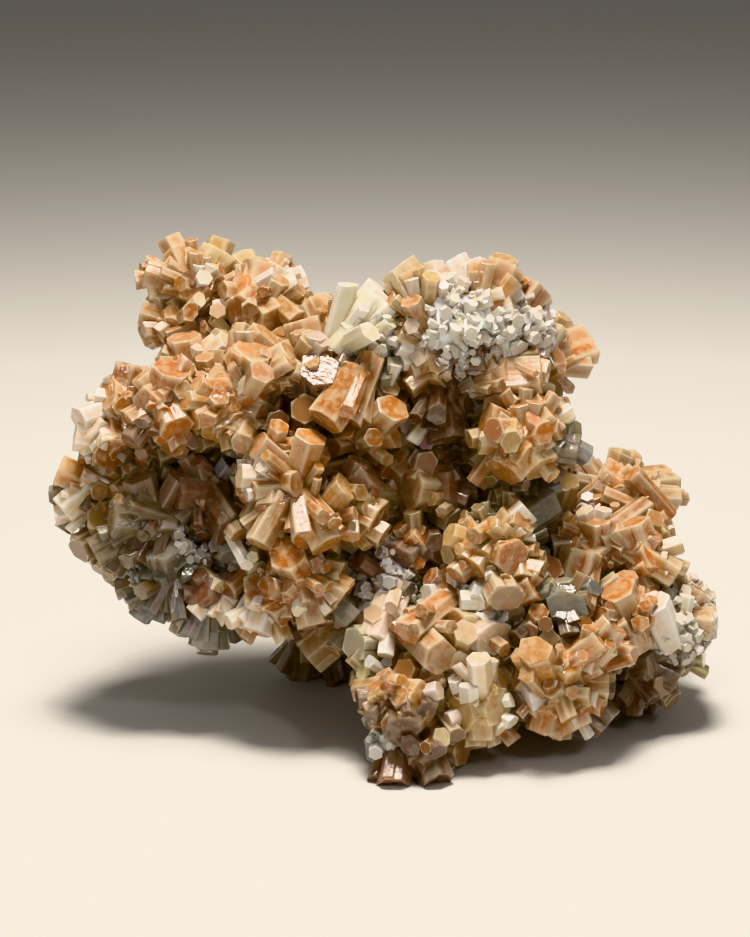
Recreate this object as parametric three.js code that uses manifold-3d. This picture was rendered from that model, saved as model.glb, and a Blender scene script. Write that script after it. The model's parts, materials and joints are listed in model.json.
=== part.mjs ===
// Aragonite crystal cluster: stubby six-sided prisms growing in rosettes from a lobed mass.
// All sizes are in millimetres, +Z is up and the cluster stands on three trimmed crystal feet.
import * as THREE from 'three';
import { mergeVertices } from 'three/addons/utils/BufferGeometryUtils.js';
import Module from 'manifold-3d';

const wasm = await Module();
wasm.setup();

// ---- Driving dimensions ---------------------------------------------------------------

// The cluster is laid out on a sheet that stands square to one line of sight: from the front,
// looking down a little. A place on the sheet is [right, up] from its middle, and depth runs
// away from the viewer, with zero on the sheet itself.
const SIGHT_DOWN = THREE.MathUtils.degToRad(15);
const SIGHT_DISTANCE = 690;
const FLOOR_BELOW_MIDDLE = 69.5;

// A crystal is narrower at its root than at its flat end.
const ROOT_WIDTH = 0.8;
const CORNER_SPREAD = 0.09;
const CORNER_TURN = 0.12;

// A rosette's centre lies this far under the surface of the mass.
const ROSETTE_SINK = 4;

// Crystals on the hidden sides: how far apart they root, their radius and how far they stand out.
const FILL_SPACING = 18.5;
const FILL_RADIUS = [5.2, 6.8];
const FILL_REACH = [6.5, 10.5];
const FILL_LEAN = 0.3;
const FILL_OUTSIDE = 3;
const FILL_SEED = 7;

// ---- Lobes of the mass ------------------------------------------------------------------

// [right, up, depth] of the middle, then the half sizes in the same three directions and, where
// a lobe slopes on the sheet, its turn in degrees.
const LOBES = [
  { name: 'middle', at: [4, -2, 30], half: [37, 33, 22] },
  { name: 'middle low', at: [14, -32, 18], half: [28, 16, 16] },
  { name: 'back', at: [4, 2, 46], half: [42, 26, 17] },
  { name: 'back right', at: [44, -20, 40], half: [24, 20, 17] },
  { name: 'left', at: [-51, -11, 24], half: [23, 21, 17] },
  { name: 'left lower', at: [-38, -28, 23], half: [19, 10, 14] },
  { name: 'left front', at: [-20, -15, 10], half: [17, 24, 16] },
  { name: 'rim', at: [-44, 17, 12], half: [29, 7, 14], turn: 14 },
  { name: 'rim to crest', at: [-12, 20, 11], half: [18, 11, 14] },
  { name: 'left knob', at: [-47, 43, 42], half: [9, 9, 10] },
  { name: 'left knob right', at: [-29, 42, 42], half: [8, 7, 10] },
  { name: 'left knob neck', at: [-38, 29, 36], half: [15, 13, 13] },
  { name: 'ridge', at: [-11, 31, 29], half: [20, 6, 12] },
  { name: 'crest', at: [18, 35, 11], half: [23, 9, 14] },
  { name: 'right knob behind', at: [42, 30, 27], half: [7, 7, 9] },
  { name: 'right knob', at: [37, 9, 5], half: [11, 10, 14] },
  { name: 'right knob neck', at: [33, 14, 17], half: [14, 14, 13] },
  { name: 'right back', at: [62, -6, 36], half: [11, 6, 9] },
  { name: 'right', at: [59, -24, 28], half: [14, 16, 17] },
  { name: 'right end', at: [70, -41, 25], half: [12, 12, 13] },
  { name: 'right lower', at: [65, -50, 26], half: [10, 8, 12] },
  { name: 'front right', at: [44, -43, 7], half: [18, 15, 19] },
  { name: 'front rosette', at: [30, -22, 2], half: [11, 13, 13] },
  { name: 'front', at: [21, -49, 1], half: [18, 13, 15] },
  { name: 'front left', at: [5, -54, -2], half: [8, 14, 11] },
  { name: 'front foot', at: [12, -67, -12], half: [11, 8, 8] },
  { name: 'rear foot', at: [-16, -34, 45], half: [10, 14, 10] },
];

// The lobes melt into each other over about this distance.
const LOBE_BLEND = 2;

// The skin of the mass is a ball of facets drawn in towards a spine, a line through the mass
// given by its two ends on the sheet.
const SPINE = [[-44, -4, 24], [56, -28, 24]];
const SKIN_DETAIL = 5;
const SKIN_REACH = 110;

// ---- Crystals of the front ----------------------------------------------------------------

// A rosette has its centre on the sheet. Each tip is [right, up] on the sheet, how far it comes
// forward of the centre, or of the mass where that is further forward, and the crystal's radius.
const ROSETTES = [
  { name: 'left knob top', at: [-45, 45], tips: [
    [-49.5, 55, 2, 4.2], [-39, 54.5, 2, 4.6], [-57, 48.5, 3, 4.4], [-46, 46, 9, 4.6],
  ] },
  { name: 'left knob low', at: [-49, 37], tips: [
    [-58, 39.5, 4, 4.4], [-51, 34, 8, 4.8], [-57.5, 33, 2, 4.4],
  ] },
  { name: 'left knob right', at: [-29, 43], tips: [
    [-27, 51, 3, 5.2], [-19.5, 45.5, 4, 4.8], [-24, 37, 7, 5.0], [-34, 39, 9, 5.0],
  ] },
  { name: 'rim top', at: [-46, 25], tips: [
    [-48, 33, 7, 5.2], [-38.5, 31, 6, 4.2],
  ] },
  { name: 'rim top right', at: [-31, 23], tips: [
    [-30, 30, 9, 5.6], [-21, 29, 7, 4.2],
  ] },
  { name: 'rim middle', at: [-38, 16], tips: [
    [-40, 17.5, 9, 5.8], [-29, 21, 8, 5.0], [-29.5, 8.5, 7, 4.8], [-39, 8.5, 8, 4.8],
  ] },
  { name: 'rim left', at: [-53, 17], tips: [
    [-51, 25, 8, 5.0], [-57, 15, 9, 5.0], [-49.5, 9.5, 9, 4.8],
  ] },
  { name: 'rim far left', at: [-63, 17], tips: [
    [-60.5, 26, 5, 4.8], [-67, 19, 7, 4.6],
  ] },
  { name: 'rim end', at: [-67, 8], tips: [
    [-75, 9, 5, 4.8], [-66, 3.5, 8, 5.4],
  ] },
  { name: 'left end', at: [-70, -4], tips: [
    [-79, 0, 4, 4.6], [-78, -11, 5, 4.6],
  ] },
  { name: 'left side', at: [-56, -14], tips: [
    [-66, -13, 8, 5.0], [-70, -22, 4, 4.8], [-61, -23, 7, 4.8], [-59, -2, 7, 4.8],
  ] },
  { name: 'left low', at: [-51, -26], tips: [
    [-52, -19, 9, 5.0], [-62, -32, 3, 4.2], [-56, -37, 2, 4.6],
  ] },
  { name: 'left bottom', at: [-41, -31], tips: [
    [-45, -30, 9, 5.2], [-41.5, -44.5, 2, 4.4], [-35, -36, 7, 5.0],
  ] },
  { name: 'under rim', at: [-42, -6], tips: [
    [-41, -5, 8, 5.6], [-36, -16, 7, 5.2], [-50, -6, 7, 5.2],
  ] },
  { name: 'left front bottom', at: [-27, -33], tips: [
    [-30, -41, 6, 5.0], [-28, -30, 9, 5.6],
  ] },
  { name: 'brown group', at: [-18, -27], tips: [
    [-22, -21, 9, 5.6], [-17.5, -31, 10, 5.0], [-8, -33, 6, 4.8], [-15, -39.5, 6, 4.6],
  ] },
  { name: 'cream group', at: [-25, -1], tips: [
    [-34, -2, 5, 4.6], [-27, 5, 8, 5.2], [-15, 5, 7, 5.2], [-26, -11, 7, 5.2],
  ] },
  { name: 'orange group', at: [-9, -8], tips: [
    [-9, -8, 10, 5.4], [1, -13, 8, 5.4], [-13, -20, 6, 5.2], [-1, -1, 8, 5.2],
  ] },
  { name: 'long prism', at: [-4, 21], tips: [
    [-13, 13, 9, 5.8],
  ] },
  { name: 'long prism right', at: [6, 15], tips: [
    [0, 9, 9, 5.6],
  ] },
  { name: 'above long prism', at: [-14, 22], tips: [
    [-14, 25, 8, 5.2],
  ] },
  { name: 'ridge', at: [-12, 33], tips: [
    [-16, 41, 2, 4.6], [-8, 40, 3, 4.6],
  ] },
  { name: 'crest white', at: [-6, 33], tips: [
    [2, 42.5, 6, 5.6],
  ] },
  { name: 'crest honey', at: [12, 37], tips: [
    [6, 48, 5, 5.4], [15, 48.5, 2, 4.6], [13, 36, 8, 5.4],
  ] },
  { name: 'crest top', at: [27, 39], tips: [
    [19.5, 52, 1, 4.0], [25.5, 50.5, 2, 4.6], [33, 51, 3, 4.8], [25, 39, 8, 5.2], [35, 41.5, 6, 4.8],
  ] },
  { name: 'crest underside', at: [18, 28], tips: [
    [10, 27, 8, 5.4], [28, 30, 7, 5.4],
  ] },
  { name: 'below crest', at: [17, 18], tips: [
    [12, 16, 8, 5.2], [22, 19, 8, 5.4], [18, 7, 7, 5.2],
  ] },
  { name: 'right of crest', at: [33, 24], tips: [
    [42, 24.5, 5, 4.8],
  ] },
  { name: 'knob behind', at: [42, 30], tips: [
    [44, 36, 3, 5.2],
  ] },
  { name: 'right knob', at: [38, 7], tips: [
    [27.5, 12, 7, 5.4], [36, 9, 9, 5.8], [45, 14, 5, 5.4], [32, -1, 7, 5.4], [42, 0, 7, 5.4],
    [51, 4.5, 4, 4.8],
  ] },
  { name: 'hollow', at: [16, -5], tips: [
    [21, -5, 8, 5.4], [9, -5, 8, 5.4],
  ] },
  { name: 'hollow low', at: [10, -20], tips: [
    [13.5, -17, 7, 5.0], [6, -24, 7, 5.2],
  ] },
  { name: 'star', at: [29, -20], tips: [
    [22, -16.5, 8, 5.4], [35.5, -12, 6, 5.4], [24, -26, 8, 6.2], [34.5, -22, 9, 5.0],
  ] },
  { name: 'below star', at: [33, -33], tips: [
    [40.5, -29, 7, 5.4], [30, -34, 8, 5.2],
  ] },
  { name: 'tan pair', at: [25, -40], tips: [
    [19.5, -40, 8, 5.2], [30, -42.5, 8, 5.0],
  ] },
  { name: 'shiny prism', at: [17.5, -34], tips: [
    [6.5, -42, 8, 4.6],
  ] },
  { name: 'cream wedge', at: [4, -34], tips: [
    [0, -44, 6, 5.4],
  ] },
  { name: 'front cap', at: [12, -43], tips: [
    [16.5, -47.5, 9, 5.0],
  ] },
  { name: 'front left', at: [6, -58], tips: [
    [1, -53.5, 7, 5.0], [12, -58.5, 9, 5.2], [-2, -62, 5, 5.0], [7, -66, 8, 4.8],
  ] },
  { name: 'front foot', at: [12, -67], tips: [
    [-0.5, -70, 4, 4.4], [22, -70, 5, 4.8], [10, -74, 5, 4.6],
  ] },
  { name: 'pale group', at: [26, -59], tips: [
    [26.5, -50, 7, 4.8], [21, -61, 8, 5.2], [31, -59.5, 9, 5.2], [26, -68, 4, 5.0],
  ] },
  { name: 'big rosette', at: [46, -54], tips: [
    [39, -48, 8, 5.4], [47.5, -47.5, 8, 5.4], [37, -57.5, 8, 5.0], [42, -66.5, 6, 5.0], [50.5, -65.5, 6, 5.0],
    [58, -54.5, 5, 4.8], [58.5, -64, 4, 4.4],
  ] },
  { name: 'salmon prism', at: [50, -48], tips: [
    [57.5, -42.5, 8, 5.2],
  ] },
  { name: 'right orange', at: [63, -38], tips: [
    [62, -31, 9, 5.8], [64, -43.5, 8, 5.4], [72, -36, 8, 6.2],
  ] },
  { name: 'right bottom', at: [67, -49], tips: [
    [71, -49, 7, 5.2], [75.5, -53, 4, 5.2],
  ] },
  { name: 'right end', at: [75, -38], tips: [
    [83.5, -39, 4, 5.4], [80, -30.5, 3, 4.4],
  ] },
  { name: 'right shoulder', at: [67, -22], tips: [
    [70, -20.5, 7, 5.2], [75, -27, 5, 4.6], [63.5, -13.5, 6, 4.8],
  ] },
  { name: 'right inner', at: [55, -20], tips: [
    [55, -12, 8, 5.2], [51, -23, 8, 5.6],
  ] },
  { name: 'grey group', at: [47, -34], tips: [
    [48, -35, 8, 5.2],
  ] },
  { name: 'right back', at: [62, -5], tips: [
    [56, -1.5, 4, 5.2], [66, -2, 4, 5.4],
  ] },
];

// The feet: a crystal from a root, given on the sheet with its depth, to a point [x, y] on the
// floor. The floor trims its end flat.
const FEET = [
  { name: 'front left foot', root: [7, -66, -10], floor: [4.5, -39], radius: 4.2 },
  { name: 'front right foot', root: [10, -66, -10], floor: [15, -38], radius: 5.0 },
  { name: 'right foot', root: [66, -50, 26], floor: [69, 16], radius: 5.0 },
  { name: 'right inner foot', root: [62, -52, 24], floor: [60, 9], radius: 4.4 },
  { name: 'rear foot', root: [-16, -38, 46], floor: [-20, 42], radius: 5.0 },
  { name: 'rear inner foot', root: [-13, -38, 46], floor: [-11, 40], radius: 4.4 },
];
const FOOT_OVERRUN = 2;

// ---- The sheet and the mass ---------------------------------------------------------------

const RIGHT = new THREE.Vector3(1, 0, 0);
const UP = new THREE.Vector3(0, Math.sin(SIGHT_DOWN), Math.cos(SIGHT_DOWN));
const AWAY = new THREE.Vector3(0, Math.cos(SIGHT_DOWN), -Math.sin(SIGHT_DOWN));

// The point in space that shows at [right, up] on the sheet, at a depth behind it.
function place(right, up, depth) {
  const spread = 1 + depth / SIGHT_DISTANCE;
  const point = new THREE.Vector3();
  point.addScaledVector(RIGHT, right * spread);
  point.addScaledVector(UP, up * spread);
  point.addScaledVector(AWAY, depth);
  return point;
}

function lobeAxes(lobe) {
  const turn = THREE.MathUtils.degToRad(lobe.turn ?? 0);
  const along = RIGHT.clone().multiplyScalar(Math.cos(turn)).addScaledVector(UP, Math.sin(turn));
  const across = UP.clone().multiplyScalar(Math.cos(turn)).addScaledVector(RIGHT, -Math.sin(turn));
  return [along, across, AWAY];
}

const SHAPED_LOBES = LOBES.map((lobe) => ({
  ...lobe,
  middle: place(...lobe.at),
  axes: lobeAxes(lobe),
}));

// About how far a point is outside one lobe; below zero inside it.
function lobeDistance(lobe, point) {
  const offset = point.clone().sub(lobe.middle);
  const local = lobe.axes.map((axis, i) => offset.dot(axis) / lobe.half[i]);
  const scaled = Math.hypot(...local);
  const slope = Math.hypot(...local.map((value, i) => value / lobe.half[i]));
  return slope < 1e-9 ? -Math.min(...lobe.half) : (scaled * (scaled - 1)) / slope;
}

// About how far a point is outside the mass; below zero inside it.
function massDistance(point) {
  const pull = SHAPED_LOBES.reduce(
    (sum, lobe) => sum + Math.exp(-lobeDistance(lobe, point) / LOBE_BLEND),
    0,
  );
  return -LOBE_BLEND * Math.log(pull);
}

// The first point of the mass met on the way in to the spine.
function skinPoint([right, up, away]) {
  const along = (right + 1) / 2;
  const start = SPINE[0].map((value, i) => value + (SPINE[1][i] - value) * along);
  for (let reach = SKIN_REACH; reach > 1; ) {
    const point = place(start[0] + right * reach, start[1] + up * reach, start[2] + away * reach);
    const distance = massDistance(point);
    if (distance < 0.05) {
      return point;
    }
    reach -= Math.max(0.05, distance * 0.7);
  }
  return place(...start);
}

function massGeometry() {
  const ball = new THREE.IcosahedronGeometry(1, SKIN_DETAIL);
  const places = ball.attributes.position;
  for (let i = 0; i < places.count; i += 1) {
    const point = skinPoint([places.getX(i), places.getY(i), places.getZ(i)]);
    places.setXYZ(i, ...point.toArray());
  }
  // The sheet's right, up and away are a left-handed set, so the facets are turned back out.
  return flipFacets(ball);
}

function flipFacets(geometry) {
  const places = geometry.attributes.position.array;
  for (let i = 0; i < places.length; i += 9) {
    for (let k = 0; k < 3; k += 1) {
      [places[i + 3 + k], places[i + 6 + k]] = [places[i + 6 + k], places[i + 3 + k]];
    }
  }
  return geometry;
}

const SKIN = new THREE.Mesh(massGeometry());
SKIN.updateMatrixWorld();

// Where the line of sight through [right, up] meets the mass or, if it passes the mass by, where
// it comes closest to it.
function meetMass(right, up) {
  let nearest = { distance: Infinity, depth: 0 };
  for (let depth = -50; depth < 90; depth += 0.5) {
    const distance = massDistance(place(right, up, depth));
    if (distance < nearest.distance) {
      nearest = { distance, depth };
    }
    if (distance < 0) {
      break;
    }
  }
  return nearest;
}

// The depth of the skin behind [right, up] or, past its outline, of the mass at its closest.
function surfaceDepth(right, up) {
  const viewer = AWAY.clone().multiplyScalar(-SIGHT_DISTANCE);
  const sight = new THREE.Raycaster(viewer, place(right, up, 0).sub(viewer).normalize());
  const [hit] = sight.intersectObject(SKIN);
  return hit ? hit.point.dot(AWAY) : meetMass(right, up).depth;
}

// How far outside the outline of the mass a point shows on the sheet.
function outsideOutline(point) {
  const depth = point.dot(AWAY);
  const spread = 1 + depth / SIGHT_DISTANCE;
  return meetMass(point.dot(RIGHT) / spread, point.dot(UP) / spread).distance;
}

// ---- Crystals -----------------------------------------------------------------------------

// A repeatable source of numbers between 0 and 1.
function numbersFrom(seed) {
  let state = seed >>> 0;
  return () => {
    state = (state + 0x6d2b79f5) >>> 0;
    let mixed = Math.imul(state ^ (state >>> 15), state | 1);
    mixed = (mixed + Math.imul(mixed ^ (mixed >>> 7), mixed | 61)) ^ mixed;
    return ((mixed ^ (mixed >>> 14)) >>> 0) / 4294967296;
  };
}

function rosetteCrystals(rosette) {
  const depth = surfaceDepth(...rosette.at) + ROSETTE_SINK;
  const root = place(...rosette.at, depth);
  return rosette.tips.map(([right, up, forward, radius]) => {
    const tipDepth = Math.min(depth, surfaceDepth(right, up) + ROSETTE_SINK) - forward;
    return { root, tip: place(right, up, tipDepth), radius };
  });
}

function footCrystal(foot) {
  const [x, y] = foot.floor;
  const root = place(...foot.root);
  const onFloor = new THREE.Vector3(x, y, -FLOOR_BELOW_MIDDLE);
  const direction = onFloor.clone().sub(root).normalize();
  return { root, tip: onFloor.addScaledVector(direction, FOOT_OVERRUN), radius: foot.radius };
}

// Evenly spread directions over a ball.
function ballDirections(count) {
  const goldenTurn = Math.PI * (3 - Math.sqrt(5));
  return Array.from({ length: count }, (_, i) => {
    const height = 1 - (2 * i + 1) / count;
    const ring = Math.sqrt(1 - height * height);
    return [ring * Math.cos(goldenTurn * i), ring * Math.sin(goldenTurn * i), height];
  });
}

function pointOnLobe(lobe, direction) {
  const point = lobe.middle.clone();
  const normal = new THREE.Vector3();
  lobe.axes.forEach((axis, i) => {
    point.addScaledVector(axis, direction[i] * lobe.half[i]);
    normal.addScaledVector(axis, direction[i] / lobe.half[i]);
  });
  return { point, normal: normal.normalize() };
}

// Whether the viewer of the sheet sees a point of the surface.
function isInFront({ point, normal }) {
  const viewer = AWAY.clone().multiplyScalar(-SIGHT_DISTANCE);
  const toViewer = viewer.sub(point).normalize();
  if (normal.dot(toViewer) < 0.12) {
    return false;
  }
  for (let step = 4; step < 110; step += 4) {
    if (massDistance(point.clone().addScaledVector(toViewer, step)) < -1) {
      return false;
    }
  }
  return true;
}

function distanceToCrystal(point, crystal) {
  const axis = new THREE.Line3(crystal.root, crystal.tip);
  const nearest = axis.closestPointToPoint(point, true, new THREE.Vector3());
  return nearest.distanceTo(point) - crystal.radius;
}

// Covers the sides that the sheet doesn't show with crystals that root evenly and lean at random.
function fillCrystals(placed) {
  const number = numbersFrom(FILL_SEED);
  const between = ([low, high]) => low + (high - low) * number();
  const crystals = [];
  for (const lobe of SHAPED_LOBES) {
    const size = Math.cbrt(lobe.half[0] * lobe.half[1] * lobe.half[2]);
    const count = Math.round((4 * Math.PI * size * size) / (FILL_SPACING * FILL_SPACING * 0.5));
    for (const direction of ballDirections(count)) {
      const spot = pointOnLobe(lobe, direction);
      const buried = massDistance(spot.point) < -0.6;
      const taken = crystals.some((other) => other.foot.distanceTo(spot.point) < FILL_SPACING);
      if (buried || taken || isInFront(spot)) {
        continue;
      }
      if (placed.some((other) => distanceToCrystal(spot.point, other) < 1.5)) {
        continue;
      }
      const lean = new THREE.Vector3(number() - 0.5, number() - 0.5, number() - 0.5);
      const axis = spot.normal.clone().addScaledVector(lean, 2 * FILL_LEAN).normalize();
      const crystal = {
        foot: spot.point,
        root: spot.point.clone().addScaledVector(axis, -5),
        tip: spot.point.clone().addScaledVector(axis, between(FILL_REACH)),
        radius: between(FILL_RADIUS),
      };
      if (outsideOutline(crystal.tip) < FILL_OUTSIDE) {
        crystals.push(crystal);
      }
    }
  }
  return crystals;
}

// ---- Solids -------------------------------------------------------------------------------

// A prism with six uneven corners, flat at both ends, from the crystal's root to its tip.
function crystalGeometry({ root, tip, radius }, seed) {
  const number = numbersFrom(seed);
  const length = root.distanceTo(tip);
  const prism = new THREE.CylinderGeometry(radius, radius * ROOT_WIDTH, length, 6, 1, false);
  const corners = Array.from({ length: 6 }, () => ({
    reach: 1 + CORNER_SPREAD * (2 * number() - 1),
    turn: CORNER_TURN * (2 * number() - 1),
  }));
  const spin = number() * Math.PI * 2;
  const places = prism.attributes.position;
  const point = new THREE.Vector3();
  for (let i = 0; i < places.count; i += 1) {
    point.fromBufferAttribute(places, i);
    const angle = Math.atan2(point.z, point.x);
    const corner = corners[(Math.round((angle / Math.PI) * 3) + 6) % 6];
    const reach = Math.hypot(point.x, point.z) * corner.reach;
    const turned = angle + corner.turn + spin;
    places.setXYZ(i, reach * Math.cos(turned), point.y, reach * Math.sin(turned));
  }
  const axis = tip.clone().sub(root).normalize();
  const stand = new THREE.Quaternion().setFromUnitVectors(new THREE.Vector3(0, 1, 0), axis);
  prism.applyQuaternion(stand);
  prism.translate(...root.clone().add(tip).multiplyScalar(0.5).toArray());
  return prism;
}

function solid(geometry) {
  geometry.deleteAttribute('normal');
  geometry.deleteAttribute('uv');
  const merged = mergeVertices(geometry, 1e-4);
  return new wasm.Manifold(new wasm.Mesh({
    numProp: 3,
    vertProperties: new Float32Array(merged.attributes.position.array),
    triVerts: new Uint32Array(merged.index.array),
  }));
}

function floorBlock() {
  const side = 400;
  const block = new THREE.BoxGeometry(side, side, side);
  block.translate(0, 0, -FLOOR_BELOW_MIDDLE - side / 2);
  return block;
}

// The largest single body, with the closed pockets between crystals filled.
function mainBody(joined) {
  const bodies = joined.decompose();
  return bodies.reduce((best, body) => (body.volume() > best.volume() ? body : best));
}

function geometryOf(body) {
  const mesh = body.getMesh();
  const geometry = new THREE.BufferGeometry();
  geometry.setAttribute('position', new THREE.BufferAttribute(new Float32Array(mesh.vertProperties), 3));
  geometry.setIndex(new THREE.BufferAttribute(new Uint32Array(mesh.triVerts), 1));
  return geometry;
}

// Puts the middle of the base at the origin.
function standOnOrigin(geometry) {
  geometry.computeBoundingBox();
  const { min, max } = geometry.boundingBox;
  geometry.translate(-(min.x + max.x) / 2, -(min.y + max.y) / 2, -min.z);
  geometry.computeVertexNormals();
  return geometry;
}

function clusterGeometry() {
  const placed = [...ROSETTES.flatMap(rosetteCrystals), ...FEET.map(footCrystal)];
  const crystals = [...placed, ...fillCrystals(placed)];
  const prisms = crystals.map((crystal, i) => solid(crystalGeometry(crystal, i + 1)));
  const joined = prisms.reduce((whole, prism) => whole.add(prism), solid(SKIN.geometry));
  const trimmed = joined.subtract(solid(floorBlock()));
  return standOnOrigin(geometryOf(mainBody(trimmed)));
}

// ---- The part -----------------------------------------------------------------------------

const honeyAragonite = new THREE.MeshStandardMaterial({
  name: 'honey_aragonite',
  color: 0xc68d55,
  roughness: 0.35,
  metalness: 0,
});

const cluster = new THREE.Mesh(clusterGeometry(), honeyAragonite);
cluster.name = 'aragonite_cluster';

const part = new THREE.Group();
part.name = 'aragonite';
part.add(cluster);

export default part;
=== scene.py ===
# %% [markdown]
# # An aragonite cluster, crystal by crystal
#
# Aragonite is calcium carbonate. In clusters like this one it grows as stubby six-sided prisms
# with flat ends, honey brown where iron stained it and milky or grey where it didn't. The prisms
# radiate from shared centres into rosettes, and the rosettes cover an irregular lobed mass.
#
# The lesson goes the way that the cluster grew: first the mass, then the large crystals at
# listed places, then smaller ones that Geometry Nodes plant between them, and at last the
# chalky crust and the clay in the gaps.

import json
import math

import bpy
import numpy as np
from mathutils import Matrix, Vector
from mathutils.bvhtree import BVHTree

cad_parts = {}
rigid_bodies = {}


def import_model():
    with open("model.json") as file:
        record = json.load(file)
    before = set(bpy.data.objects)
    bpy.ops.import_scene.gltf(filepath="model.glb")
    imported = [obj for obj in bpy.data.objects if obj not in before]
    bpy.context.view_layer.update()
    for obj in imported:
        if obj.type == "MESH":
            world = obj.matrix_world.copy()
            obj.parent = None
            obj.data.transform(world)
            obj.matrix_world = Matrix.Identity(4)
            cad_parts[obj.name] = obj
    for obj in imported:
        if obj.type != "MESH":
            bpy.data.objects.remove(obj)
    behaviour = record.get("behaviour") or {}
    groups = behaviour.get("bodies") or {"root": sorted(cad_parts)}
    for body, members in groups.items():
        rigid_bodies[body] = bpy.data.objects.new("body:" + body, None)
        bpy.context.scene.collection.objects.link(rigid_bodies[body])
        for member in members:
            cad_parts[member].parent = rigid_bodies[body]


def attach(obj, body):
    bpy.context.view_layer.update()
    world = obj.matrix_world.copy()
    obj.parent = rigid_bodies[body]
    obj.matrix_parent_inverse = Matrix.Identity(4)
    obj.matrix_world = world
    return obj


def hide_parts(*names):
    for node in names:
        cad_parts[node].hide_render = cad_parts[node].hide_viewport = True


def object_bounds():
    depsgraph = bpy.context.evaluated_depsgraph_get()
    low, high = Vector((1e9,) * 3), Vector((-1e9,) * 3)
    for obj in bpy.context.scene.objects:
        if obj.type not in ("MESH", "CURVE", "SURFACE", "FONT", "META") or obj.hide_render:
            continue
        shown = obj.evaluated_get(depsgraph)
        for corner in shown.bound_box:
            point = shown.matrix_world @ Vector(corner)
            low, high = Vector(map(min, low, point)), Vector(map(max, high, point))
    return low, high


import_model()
CAD_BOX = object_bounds()
MM = 0.001
print("CAD box in metres:", [tuple(round(v, 4) for v in corner) for corner in CAD_BOX])

# %% [markdown]
# ## The layout sheet
#
# A cluster has no edges or axes to measure from. So its crystals are laid out on a sheet that
# stands square to one line of sight, from the front and 15 degrees down. A place on the sheet is
# right and up from its middle in millimetres, and depth runs away from the viewer. Points could
# also be typed as plain x, y and z, but then a crystal could not be moved sideways without also
# thinking about how far back it lies.

# %% Turn places on the sheet into points in the cluster
SIGHT_DOWN = math.radians(15)
SIGHT_DISTANCE = 690  # mm from the eye to the sheet
FLOOR_BELOW_MIDDLE = 69.5  # mm
SHEET_MIDDLE = np.array([-2.098, -14.976, FLOOR_BELOW_MIDDLE])

RIGHT = np.array([1.0, 0.0, 0.0])
UP = np.array([0.0, math.sin(SIGHT_DOWN), math.cos(SIGHT_DOWN)])
AWAY = np.array([0.0, math.cos(SIGHT_DOWN), -math.sin(SIGHT_DOWN)])


def place(right, up, depth):
    """Points in mm from the sheet's middle; right, up and depth may be numbers or arrays."""
    spread = 1 + np.asarray(depth, float) / SIGHT_DISTANCE
    return (
        np.multiply.outer(right * spread, RIGHT)
        + np.multiply.outer(up * spread, UP)
        + np.multiply.outer(np.asarray(depth, float), AWAY)
    )


def sheet_place(points):
    """The inverse of place(): right, up and depth of points in mm from the sheet's middle."""
    depth = points @ AWAY
    spread = 1 + depth / SIGHT_DISTANCE
    return points @ RIGHT / spread, points @ UP / spread, depth


def in_frame(points):
    """Points in mm from the sheet's middle, as metres in the shared frame."""
    return (np.asarray(points) + SHEET_MIDDLE) * MM


print("Sheet middle in metres:", np.round(in_frame(np.zeros(3)), 4))

# %% [markdown]
# ## The camera
#
# The camera looks along the sheet's line of sight, so what is placed on the sheet is seen where it
# was placed. A short lens from nearby would fill the view as well, but the near crystals would
# bulge towards it. A long lens from close to 0.7 m keeps them in proportion.

# %% Place the camera
IMAGE_HEIGHT = 937
PIXELS_PER_MM = 4
SENSOR = 36

lens = SENSOR * PIXELS_PER_MM * SIGHT_DISTANCE / IMAGE_HEIGHT
camera = bpy.data.objects.new("camera", bpy.data.cameras.new("camera"))
bpy.context.scene.collection.objects.link(camera)
camera.data.lens = lens
camera.data.sensor_width = SENSOR
camera.data.clip_start = 0.05
camera.location = Vector(in_frame(-AWAY * SIGHT_DISTANCE))
camera.rotation_euler = (math.pi / 2 - SIGHT_DOWN, 0, 0)
bpy.context.scene.camera = camera
print("Lens in mm:", round(lens, 1))

# %% [markdown]
# ## The mass under the crystals
#
# Under the crystals the cluster is one lump of older, intergrown aragonite and clay. It could be
# sculpted by hand or made of metaballs. Here it is a sum of soft ellipsoids, because a formula
# can be asked how far any point is outside the mass, and every later step needs that answer.

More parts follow.
